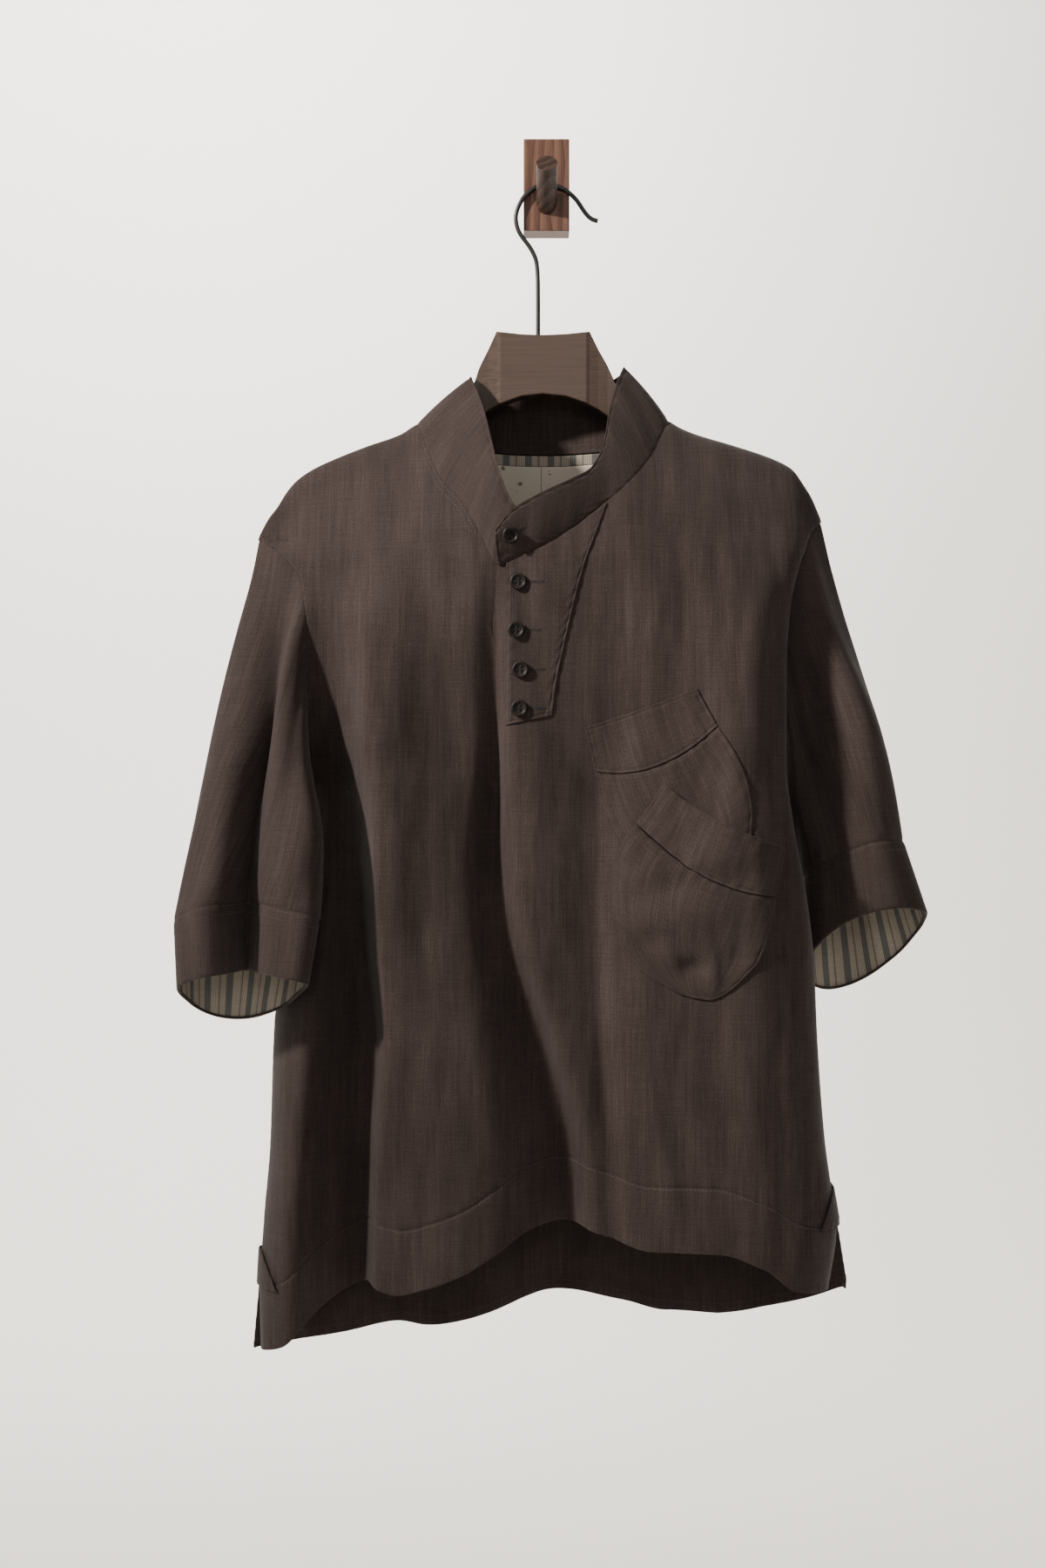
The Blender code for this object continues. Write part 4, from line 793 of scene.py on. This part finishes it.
sage_print = sprigged("sage_print", (0.82, 0.74, 0.6), (0.3, 0.25, 0.17))
cream_print = sprigged("cream_print", (0.84, 0.74, 0.62), (0.34, 0.26, 0.17))
for name, node_name, patch, columns, rows, material, slot, flat in (
        ("shirt_back_neck_strip", "back_neck_strip", lining_patch(-0.08, 0.076, 0.002, 0.011), 60, 6,
         striped_ticking, "ticking", (0.156, 0.01)),
        ("shirt_neck_lining_left", "back_neck_lining_left", lining_patch(-0.08, -0.0033, 0.0113), 40, 50,
         sage_print, "sage_cotton", (0.078, 0.105)),
        ("shirt_neck_lining_right", "back_neck_lining_right", lining_patch(-0.003, 0.076, 0.0113), 40, 50,
         cream_print, "cream_cotton", (0.08, 0.105))):
    lining = cloth(name, patch, columns, rows, material, False, thickness=LINING_THICK)
    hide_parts(node_name)

# ------------------------------------------------------------------ bib placket
# A shaped piece of the linen under the neck opening, its right edge a long curve and its
# left edge straight, sewn down all round. The buttons stand on it.
BIB_RIGHT = metres(
    z=[-264, -279, -303, -327, -349, -377, -407, -432],
    x=[51, 43, 32, 25, 20, 14, 8, 5])
BIB_LEFT_X, BIB_LEFT_TOP, BIB_LEFT_BOTTOM = -0.033, -0.3045, -0.44
BIB_TUCK, BIB_LIFT = 0.0015, 0.0014    # under the collar's edge, and off the front
NECKLINE_POINT = 7                     # the row of the neckline's table at the point of the V


def bib_point(across, down):
    """Places on the bib: across from its left edge, down from the neckline."""
    right_z = mix(BIB_RIGHT["z"][0], BIB_RIGHT["z"][-1], down)
    x = mix(BIB_LEFT_X, line_through(BIB_RIGHT["z"], BIB_RIGHT["x"], right_z), across)
    z = mix(mix(BIB_LEFT_TOP, BIB_LEFT_BOTTOM, down), right_z, across)
    neckline = line_through(NECK["front"]["x"][NECKLINE_POINT:], NECK["front"]["z"][NECKLINE_POINT:], x)
    z = z + (neckline - BIB_TUCK - mix(BIB_LEFT_TOP, BIB_RIGHT["z"][0], across)) * (1 - down) ** 2
    return off_panel("front", x, z, BIB_LIFT)


bib = cloth("shirt_bib_placket", bib_point, 70, 130, shirt_linen, False,
            stitched=("left", "right", "bottom"), stitch_at=0.0022)
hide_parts("bib_placket")

# ------------------------------------------------------------------ chest pockets
# Two patch pockets of the linen, tilted and overlapping, each a rounded bag under a
# stitched band that faces its mouth. The lower one is fuller and lies over the upper one.
POCKET_ROWS = dict(
    upper_band=metres(
        down=[0, 1],
        left_x=[32, 41],
        left_z=[-442, -478],
        right_x=[125, 142],
        right_z=[-410, -441],
        bow=[1, 15]),
    upper_bag=metres(
        down=[0, 0.25, 0.55, 0.8, 1],
        left_x=[41, 46, 56, 68, 80],
        left_z=[-478, -500, -524, -543, -556],
        right_x=[142, 156, 167, 170, 168],
        right_z=[-441, -463, -492, -515, -538],
        bow=[15, 12, 10, 8, 6]),
    lower_band=metres(
        down=[0, 1],
        left_x=[98, 75],
        left_z=[-489, -521],
        right_x=[198, 189],
        right_z=[-542, -582],
        bow=[7, 14]),
    lower_bag=metres(
        down=[0, 0.2, 0.45, 0.65, 0.82, 0.93, 1],
        left_x=[75, 60, 56, 59, 74, 92, 110],
        left_z=[-521, -548, -585, -614, -637, -652, -662],
        right_x=[189, 187, 182, 175, 163, 150, 137],
        right_z=[-582, -598, -615, -634, -648, -660, -667],
        bow=[14, 12, 9, 7, 5, 3, 1]))
POCKET_COLUMNS = ("left_x", "left_z", "right_x", "right_z", "bow")
UPPER_LIFT, LOWER_LIFT = 0.00135, 0.002        # how far the pockets' edges stand off the front
UPPER_SWELL, LOWER_SWELL = 0.0012, 0.005       # and their middles beyond that
STEP_UP, STEP_RUN = 0.0027, 0.022               # where the lower one climbs on the upper one
BAG_START = 0.008                               # share of a bag hidden by its band's seam
# Where the fuller pocket bulges and sinks: x, z, half width, half height, how far forward.
POUCH_DENTS = ((0.112, -0.598, 0.034, 0.03, 0.006), (0.121, -0.64, 0.01, 0.008, -0.005),
               (0.138, -0.645, 0.007, 0.018, 0.0035), (0.157, -0.634, 0.01, 0.012, -0.003),
               (0.09, -0.618, 0.016, 0.01, -0.003))


def over_upper_pocket(x, z):
    """1 where the upper pocket lies under a place, 0 clear of it, smooth between."""
    rows = POCKET_ROWS["upper_bag"]
    left, right = (line_through(rows[side + "_z"], rows[side + "_x"], z) for side in ("left", "right"))
    start_x, start_z, end_x, end_z, bow = (rows[part][-1] for part in POCKET_COLUMNS)
    bottom = mix(start_z, end_z, (x - start_x) / (end_x - start_x)) - bow
    return (ease(x, left - STEP_RUN, left) * ease(-x, -right - STEP_RUN, -right)
            * ease(z, bottom - STEP_RUN, bottom))


def pocket_surface(key):
    """A band or a bag, drawn between its left and right edges, with its rows bowed down."""
    rows = POCKET_ROWS[key]
    lower = key.startswith("lower")

    def point(across, down):
        if key.endswith("bag"):
            down = mix(BAG_START, 1.0, down)
        left_x, left_z, right_x, right_z, bow = (line_through(rows["down"], rows[part], down)
                                                 for part in POCKET_COLUMNS)
        x = mix(left_x, right_x, across)
        z = mix(left_z, right_z, across) - bow * 4 * across * (1 - across)
        middle = 4 * across * (1 - across)
        edge_lift, swell = (LOWER_LIFT, LOWER_SWELL) if lower else (UPPER_LIFT, UPPER_SWELL)
        lift = edge_lift + swell * middle * (1 if key.endswith("band") else 1 - down**2)
        if lower:
            lift = lift + STEP_UP * over_upper_pocket(x, z)
        if key == "lower_bag":
            slack = ease(down, 0.0, 0.3) * ease(-down, -1.0, -0.9) * np.minimum(1.0, 1.6 * middle)
            for at_x, at_z, wide, tall, forward in POUCH_DENTS:
                lift = lift + forward * slack * hill(x - at_x, wide) * hill(z - at_z, tall)
        return off_panel("front", x, z, lift)
    return point


for key, columns, rows_down, flat, area in (
        ("upper_band", 90, 40, (0.115, 0.052), 0.0048), ("upper_bag", 90, 80, (0.125, 0.105), 0.01),
        ("lower_band", 100, 40, (0.138, 0.055), 0.0058), ("lower_bag", 100, 120, (0.145, 0.14), 0.0124)):
    top = ("top",)
    stitched, seams = (top, ()) if "band" in key else ((), top)
    pocket = cloth("shirt_pocket_" + key, pocket_surface(key), columns, rows_down, shirt_linen,
                   False, grain="slant", seams=seams, stitched=stitched + ("left", "right", "bottom"),
                   stitch_at=0.0025)
    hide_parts("pocket_" + key)

# ------------------------------------------------------------------ side gussets
# A small pointed piece of the linen folded round each side seam and sewn down, where
# the seam ends above the open vent.
GUSSET_REACH = metres(
    down=[0, 0.6, 1],
    front=[3, 14, 21],
    back=[3, 12, 18])
GUSSET_Z = dict(left=(-0.888, -0.918), right=(-0.83, -0.86))
GUSSET_LIFT = 0.0024


def gusset_surface(arm):
    """Round a side seam from the front to the back, wider below, square off each panel."""
    sign = -1 if arm == "left" else 1

    def point(across, down):
        z = mix(*GUSSET_Z[arm], down)
        turn = 2 * across - 1
        result = np.empty((len(z), 3))
        for side, part in (("front", turn < 0), ("back", turn >= 0)):
            reach = line_through(GUSSET_REACH["down"], GUSSET_REACH[side], down[part])
            reach = reach * np.abs(turn[part]) ** 1.5
            places = []
            for distance in (reach, reach + 0.0005):
                x = edge_line(arm, side, "x", z[part]) - sign * distance
                places.append(np.stack([x, panel_depth(side, x, z[part]), z[part]], 1))
            tangent = places[1] - places[0]
            tangent /= np.linalg.norm(tangent, axis=1)[:, None]
            out = np.stack([tangent[:, 1], -tangent[:, 0], np.zeros(len(tangent))], 1)
            wrong = out[:, 0] * sign + out[:, 1] * (-1 if side == "front" else 1) < 0
            out[wrong] *= -1
            result[part] = places[0] + out * GUSSET_LIFT
        return result
    return point


for arm, faces_out in (("left", True), ("right", False)):
    gusset = cloth("shirt_gusset_" + arm, gusset_surface(arm), 40, 24, shirt_linen, faces_out,
                   stitched=("left", "right", "bottom"), stitch_at=0.002)
    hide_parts("gusset_" + arm)

# ------------------------------------------------------------------ topstitching
# Rows of machine stitches in brown thread, about 3 mm long, beside the seams and along
# the folded edges. The hem band's seam is sewn with a paler thread.


def noise(tree, place, scale, detail, stretch=None):
    """Noise at a place, perhaps stretched."""
    if stretch:
        place = node(tree, "Mapping", {0: place, "Scale": stretch}).outputs[0]
    return node(tree, "TexNoise", {"Vector": place, "Scale": scale, "Detail": detail}).outputs[0]


def thread(name, colour):
    """Spun polyester: fine light and dark fibres with a soft sheen."""
    material, tree, shader = plain(name, colour, 0.62, Sheen_Weight=0.15, Specular_IOR_Level=0.4)
    place = node(tree, "TexCoord").outputs["Object"]
    fibre = noise(tree, place, 2400.0, 2.0)
    dark, light = (tuple(part * share for part in colour) for share in (0.7, 1.3))
    tree.links.new(ramp(tree, fibre, (0.35, dark), (0.65, light)), shader.inputs["Base Color"])
    return material


brown_thread = thread("brown_thread", (0.05, 0.038, 0.033))
pale_thread = thread("pale_thread", (0.085, 0.068, 0.06))
dark_thread = thread("dark_thread", (0.014, 0.01, 0.009))
LOOK_AHEAD = 0.0006     # how far on a stitch's direction is read

one_bead = bmesh.new()
bmesh.ops.create_uvsphere(one_bead, u_segments=6, v_segments=4, radius=1.0,
                          matrix=Matrix.Rotation(math.pi / 2, 4, "Y"))   # its poles are the stitch's ends
BEAD = np.array([vert.co[:] for vert in one_bead.verts])
BEAD_FACES = [[vert.index for vert in face.verts] for face in one_bead.faces]
one_bead.free()


def bead(middle, along, out, length, width, height):
    """One stitch's points: a small rounded thread, lying along a line with its back to the cloth."""
    axes = np.stack([along * length / 2, np.cross(out, along) * width / 2, out * height / 2])
    return middle + BEAD @ axes


def sewn(name, material, beads):
    """A piece made of many stitches."""
    data = bpy.data.meshes.new(name)
    faces = [[corner + number * len(BEAD) for corner in face] for number in range(len(beads))
             for face in BEAD_FACES]
    data.from_pydata(np.concatenate(beads), [], faces)
    data.shade_smooth()
    data.materials.append(material)
    piece = placed(name, data)
    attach(piece, "root")


def seam_line(piece, edge, inset, start=0.0, end=1.0, under=False):
    """Points and normals on a cloth piece's face, along a line at a distance from one of its edges."""
    net, normal, away = nets[piece]
    distance = away[edge]
    if edge in ("top", "bottom"):
        net, normal, distance = net.transpose(1, 0, 2), normal.transpose(1, 0, 2), distance.T
    if edge in ("right", "bottom"):
        net, normal, distance = net[:, ::-1], normal[:, ::-1], distance[:, ::-1]
    count = len(net)
    points, outs = [], []
    for lane in range(round(start * (count - 1)), round(end * (count - 1)) + 1):
        if distance[lane, -1] < inset:
            continue
        after = int(np.searchsorted(distance[lane], inset))
        before = max(after - 1, 0)
        gap = distance[lane, after] - distance[lane, before]
        share = (inset - distance[lane, before]) / gap if gap > 0 else 0.0
        points.append(mix(net[lane, before], net[lane, after], share))
        outs.append(mix(normal[lane, before], normal[lane, after], share))
    outs = np.array(outs) * (-1 if under else 1)
    return np.array(points) + outs * LINEN_THICK * 0.5, outs


def sew(name, material, lines, pitch=0.0033, length=0.0027, width=0.0005, height=0.00036):
    """Stitches along lines of points and normals."""
    beads = []
    for points, outs in lines:
        run = np.concatenate([[0.0], np.cumsum(np.linalg.norm(np.diff(points, axis=0), axis=1))])
        for place in np.arange(pitch, run[-1] - pitch / 2, pitch):
            middle, ahead, out = (
                np.array([np.interp(at, run, rows[:, axis]) for axis in range(3)])
                for at, rows in ((place, points), (place + LOOK_AHEAD, points), (place, outs)))
            out /= np.linalg.norm(out)
            along = ahead - middle
            along -= out * np.dot(along, out)
            along /= np.linalg.norm(along)
            beads.append(bead(middle, along, out, length, width, height))
    sewn(name, material, beads)


sew("stitches_collar", brown_thread,
    [seam_line("shirt_collar", "bottom", 0.0019), seam_line("shirt_collar", "right", 0.0019),
     seam_line("shirt_collar", "top", 0.0034, 0.01, 0.995),
     seam_line("shirt_front", "top", 0.003, 0.27, 0.44),
     seam_line("shirt_front", "top", 0.0085, 0.27, 0.44)])
sew("stitches_armholes", brown_thread,
    [seam_line("shirt_front", edge, 0.0045, 0.03, 0.43) for edge in ("left", "right")])
sew("stitches_bib", brown_thread,
    [seam_line("shirt_bib_placket", "right", 0.0016), seam_line("shirt_bib_placket", "left", 0.0062),
     seam_line("shirt_bib_placket", "bottom", 0.002)], length=0.0023, pitch=0.0028, width=0.0004,
    height=0.00026)
for key in ("upper_band", "upper_bag", "lower_band", "lower_bag"):
    name = "shirt_pocket_" + key
    start = 0.0 if "band" in key else 0.03
    sew("stitches_pocket_" + key, brown_thread,
        [seam_line(name, "left", 0.0018, start), seam_line(name, "right", 0.0018, start),
         seam_line(name, "bottom", 0.0018)], length=0.0023, pitch=0.0028, width=0.00042)
for arm in ("left", "right"):
    sew("stitches_cuff_" + arm, brown_thread,
        [seam_line("shirt_cuff_" + arm, "top", 0.0022), seam_line("shirt_cuff_" + arm, "top", 0.009),
         seam_line("shirt_cuff_" + arm, "bottom", 0.003)])
    sew("stitches_gusset_" + arm, brown_thread,
        [seam_line("shirt_gusset_" + arm, "left", 0.0018), seam_line("shirt_gusset_" + arm, "right", 0.0018),
         seam_line("shirt_gusset_" + arm, "bottom", 0.0018)], length=0.0023, pitch=0.0028)
sew("stitches_hem_band", pale_thread, [seam_line("shirt_front_hem_band", "top", 0.002)])
sew("stitches_hems", brown_thread,
    [seam_line("shirt_front_hem_band", "left", 0.022), seam_line("shirt_front_hem_band", "right", 0.032),
     seam_line("shirt_front_hem_band", "bottom", 0.008, under=True),
     seam_line("shirt_back", "bottom", 0.008), seam_line("shirt_back", "bottom", 0.008, under=True)])

# ------------------------------------------------------------------ buttons
# Five dark four-hole buttons with a raised rim, each sewn on through its holes with a little
# slack. One closes the collar, the others stand down the placket.
BUTTON_RADIUS, BUTTON_THICKNESS, BUTTON_SLACK = 0.007, 0.003, 0.0008
HOLE_RADIUS, HOLE_REACH, HOLE_DEPTH = 0.001, 0.0024, 0.0016
HOLE_PLACE = HOLE_REACH * 0.7071    # from a button's middle, along its buttonhole and across it
PLACKET_FACE = 0.00195              # how far the placket's face stands off the front
PLACKET_BUTTONS = ((-0.023, -0.321), (-0.025, -0.361), (-0.021, -0.394), (-0.022, -0.426))
COLLAR_BUTTON = (0.962, 0.5)

horn, tree, shader = plain("horn", (0.02, 0.016, 0.014), 0.38, Specular_IOR_Level=0.22)
place = node(tree, "TexCoord").outputs["Object"]
streaks = noise(tree, place, 1.0, 4.0, (500, 140, 160))
tree.links.new(ramp(tree, streaks, (0.35, (0.01, 0.008, 0.007)), (0.62, (0.028, 0.022, 0.019))),
               shader.inputs["Base Color"])
gloss = node(tree, "MapRange", {"Value": noise(tree, place, 1800.0, 3.0), 3: 0.36, 4: 0.52})
tree.links.new(gloss.outputs[0], shader.inputs["Roughness"])


def one_place(point, *where):
    """A surface's point at one place."""
    return point(*(np.array([value], float) for value in where))[0]


def normal_of(point, across, down):
    step = 0.004
    sideways = one_place(point, across + step, down) - one_place(point, across - step, down)
    downward = one_place(point, across, down + step) - one_place(point, across, down - step)
    out = np.cross(sideways, downward)
    out /= np.linalg.norm(out)
    return out if out[1] < 0 else -out


def collar_place(distance):
    """A point on the collar's face and its normal, at a distance along the band from its button."""
    across = COLLAR_BUTTON[0] - distance / COLLAR_LENGTH
    out = normal_of(collar_point, across, COLLAR_BUTTON[1])
    return one_place(collar_point, across, COLLAR_BUTTON[1]) + DATUM + out * COLLAR_THICK / 2, out


def placket_place(x, z):
    """The same for a button of the placket."""
    def place_at(distance):
        low, high = (off_panel("front", np.array([x + distance]), np.array([z]), lift)[0]
                     for lift in (0, PLACKET_FACE))
        return high + DATUM, (high - low) / PLACKET_FACE
    return place_at


seats = [collar_place] + [placket_place(x, z) for x, z in PLACKET_BUTTONS]
half = BUTTON_THICKNESS / 2
button_profile = [(share, half * 0.15) for share in np.linspace(0.0, 0.58, 15)] + [
    (0.64, half * 0.3), (0.7, half * 0.72), (0.75, half * 0.92), (0.82, half), (0.89, half * 0.92),
    (0.95, half * 0.62), (0.99, half * 0.1), (1.0, -half * 0.2), (0.97, -half * 0.6), (0.88, -half * 0.9),
    (0.75, -half), (0.0, -half)]
for number, place_at in enumerate(seats, 1):
    seat, out = place_at(0.0)
    along = place_at(0.003)[0] - seat
    disc = bmesh.new()
    verts = [disc.verts.new((share * BUTTON_RADIUS, 0.0, z)) for share, z in button_profile]
    edges = [disc.edges.new(pair) for pair in zip(verts, verts[1:])]
    bmesh.ops.spin(disc, geom=verts + edges, cent=(0, 0, 0), axis=(0, 0, 1), angle=2 * math.pi, steps=56,
                   use_merge=True)
    bmesh.ops.remove_doubles(disc, verts=disc.verts, dist=0.00001)
    bmesh.ops.recalc_face_normals(disc, faces=disc.faces)
    for vert in disc.verts:
        if vert.co.z > 0:
            near = math.hypot(abs(vert.co.x) - HOLE_PLACE, abs(vert.co.y) - HOLE_PLACE)
            vert.co.z -= HOLE_DEPTH * float(1 - ease(near, HOLE_RADIUS * 0.65, HOLE_RADIUS * 1.1))
    along = along - out * np.dot(along, out)
    along /= np.linalg.norm(along)
    axes = Matrix(np.stack([along, np.cross(out, along), out], 1)).to_4x4()
    at = Vector(seat + out * (BUTTON_SLACK + half))
    bmesh.ops.transform(disc, matrix=Matrix.Translation(at) @ axes, verts=disc.verts)
    data = bpy.data.meshes.new("button_%d" % number)
    disc.to_mesh(data)
    disc.free()
    data.shade_smooth()
    data.materials.append(horn)
    button = placed("shirt_button_%d" % number, data)
    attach(button, "root")
    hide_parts("button_%d" % number)

    # the thread: two bars through the holes, a stem below, and the worked buttonhole beside it
    across = np.cross(out, along)
    sewing = []
    for side in (-1, 1):
        sewing.append(bead(np.array(at) + across * side * HOLE_REACH * 0.7 + out * half * 0.15, along, out,
                           2 * HOLE_REACH, 0.0006, 0.0005))
    sewing.append(bead(seat + out * 0.0005, out, along, 0.002, 0.0022, 0.0022))
    slit_start, slit_length, wrap = BUTTON_RADIUS * 0.6, 0.0165, 0.00042
    for step in range(int(slit_length / wrap)):
        spot, up = place_at(slit_start + step * wrap)
        for side in (-1, 1):
            sewing.append(bead(spot + across * side * 0.00062, across, up, 0.00105, 0.00046, 0.00062))
    spot, up = place_at(slit_start + slit_length)
    for step in (-1.5, -0.5, 0.5, 1.5):
        sewing.append(bead(spot + across * step * 0.0004, along, up, 0.0012, 0.0004, 0.0007))
    sewn("button_sewing_%d" % number, dark_thread, sewing)

# ------------------------------------------------------------------ wooden hanger
# A thick hanger carved from one piece of beech, stained grey-brown and lacquered thinly. Its
# neck is cut to facets round a flat face; its two arms carry the shoulders.


def wood(name, dark, mid, light, roughness, ring_scale, turn, figure=0.2):
    """Planed wood: rings seen as long uneven grain lines, fine pores along them, an uneven finish."""
    material, tree, shader = plain(name, mid, roughness, Specular_IOR_Level=0.45)
    place = node(tree, "TexCoord").outputs["Object"]
    along = node(tree, "Mapping", {0: place, "Rotation": turn}).outputs[0]
    bend, pores, grain = (noise(tree, along, 1.0, detail, stretch) for detail, stretch in (
        (3.0, (4, 22, 22)), (2.0, (90, 2600, 2600)), (4.0, (14, 600, 600))))
    parts = node(tree, "SeparateXYZ", {0: along})
    ring_place = weighted(tree, (parts.outputs[1], ring_scale), (parts.outputs[2], ring_scale * 0.55),
                          (bend, 3.4))
    ring = node(tree, "Math", {0: ring_place}, operation="FRACT").outputs[0]
    ring = node(tree, "MapRange", {"Value": ring}, interpolation_type="SMOOTHERSTEP").outputs[0]
    tone = weighted(tree, (ring, figure), (pores, 0.28), (grain, 0.62 - figure), (bend, 0.15))
    finish(tree, shader, ramp(tree, tone, (0.36, dark), (0.52, mid), (0.7, light)),
           weighted(tree, (pores, 0.7), (grain, 0.6)), 0.0002, 0.35)
    gloss = node(tree, "MapRange", {"Value": weighted(tree, (pores, 0.25), (grain, 0.2)), 1: 0.15, 2: 0.3,
                                    3: roughness - 0.08, 4: roughness + 0.12})
    tree.links.new(gloss.outputs[0], shader.inputs["Roughness"])
    return material


def varnished(node_name, material, *rounding):
    """Give a carried-over wooden piece its material and perhaps soft edges."""
    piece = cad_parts[node_name]
    piece.data.materials.clear()
    piece.data.materials.append(material)
    if rounding:
        round_edges(piece, *rounding)


stained_beech = wood("stained_beech", (0.064, 0.041, 0.029), (0.084, 0.055, 0.04), (0.104, 0.07, 0.052),
                     0.4, 60.0, (0.0, 0.0, 0.0), 0.02)
varnished("hanger_body", stained_beech, 0.0007, 2, 24)

# ------------------------------------------------------------------ hanger hook
# A hook of 4 mm steel wire, bent over the peg and driven into the top of the hanger, with
# a matt black coating that has a slight sheen where it was handled.
HOOK = metres(
    x=[46, 39.5, 34, 27.5, 19.5, 11, 1.5, -8, -19, -26.5, -23.5, -13.5, -7.5, -6.2, -6, -6],
    z=[0.5, 2.5, 9, 19.5, 26.8, 31.1, 32.5, 30.7, 22.2, 6, -9, -21, -32, -45, -60, -100.5])
HOOK_Y, WIRE_RADIUS = -0.0306, 0.002
POINTS_A_BEND, SMOOTHINGS = 8, 14

black_steel, tree, shader = plain("black_coating", (0.013, 0.013, 0.013), 0.38, Metallic=0.0,
                                  Specular_IOR_Level=0.55, Coat_Weight=0.15)
place = node(tree, "TexCoord").outputs["Object"]
worn = noise(tree, place, 60.0, 4.0)
finish(tree, shader, ramp(tree, worn, (0.4, (0.01, 0.01, 0.01)), (0.72, (0.03, 0.028, 0.026))),
       noise(tree, place, 900.0, 3.0), 0.0001, 0.25)
gloss = node(tree, "MapRange", {"Value": worn, 1: 0.3, 2: 0.7, 3: 0.46, 4: 0.3})
tree.links.new(gloss.outputs[0], shader.inputs["Roughness"])

wire = bpy.data.curves.new("hook_wire", "CURVE")
wire.dimensions = "3D"
wire.bevel_depth = WIRE_RADIUS
wire.bevel_resolution = 3
wire.use_fill_caps = True
knots = np.arange(len(HOOK["x"]))
turns = np.linspace(0, knots[-1], knots[-1] * POINTS_A_BEND + 1)
path = np.stack([np.interp(turns, knots, HOOK["x"]), np.full(len(turns), HOOK_Y),
                 np.interp(turns, knots, HOOK["z"])], 1) + DATUM
for _ in range(SMOOTHINGS):
    path[1:-1] = (path[:-2] + 2 * path[1:-1] + path[2:]) / 4
line = wire.splines.new("POLY")
line.points.add(len(path) - 1)
for spot, where in zip(line.points, path):
    spot.co = (*where, 1.0)
drawn = placed("hook_wire", wire)
data = bpy.data.meshes.new_from_object(drawn.evaluated_get(bpy.context.evaluated_depsgraph_get()))
bpy.data.objects.remove(drawn)
data.shade_smooth()
data.materials.clear()
data.materials.append(black_steel)
hook = placed("hanger_hook_wire", data)
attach(hook, "root")
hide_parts("hanger_hook")

# ------------------------------------------------------------------ wall plate and peg
# A small walnut block fixed flat to the wall, and a round walnut dowel glued into it that
# slants up and away; both are oiled, with the grain along the block's height and the dowel.
walnut_block = wood("walnut_block", (0.06, 0.026, 0.015), (0.135, 0.062, 0.038), (0.215, 0.112, 0.072),
                    0.5, 190.0, (0.0, math.pi / 2, 0.0))
varnished("wall_plate", walnut_block)
walnut_dowel = wood("walnut_dowel", (0.024, 0.013, 0.009), (0.05, 0.028, 0.02), (0.09, 0.056, 0.04),
                    0.46, 150.0, (0.0, math.pi / 2, math.pi / 2))
varnished("wall_peg", walnut_dowel, 0.001, 3, 50)
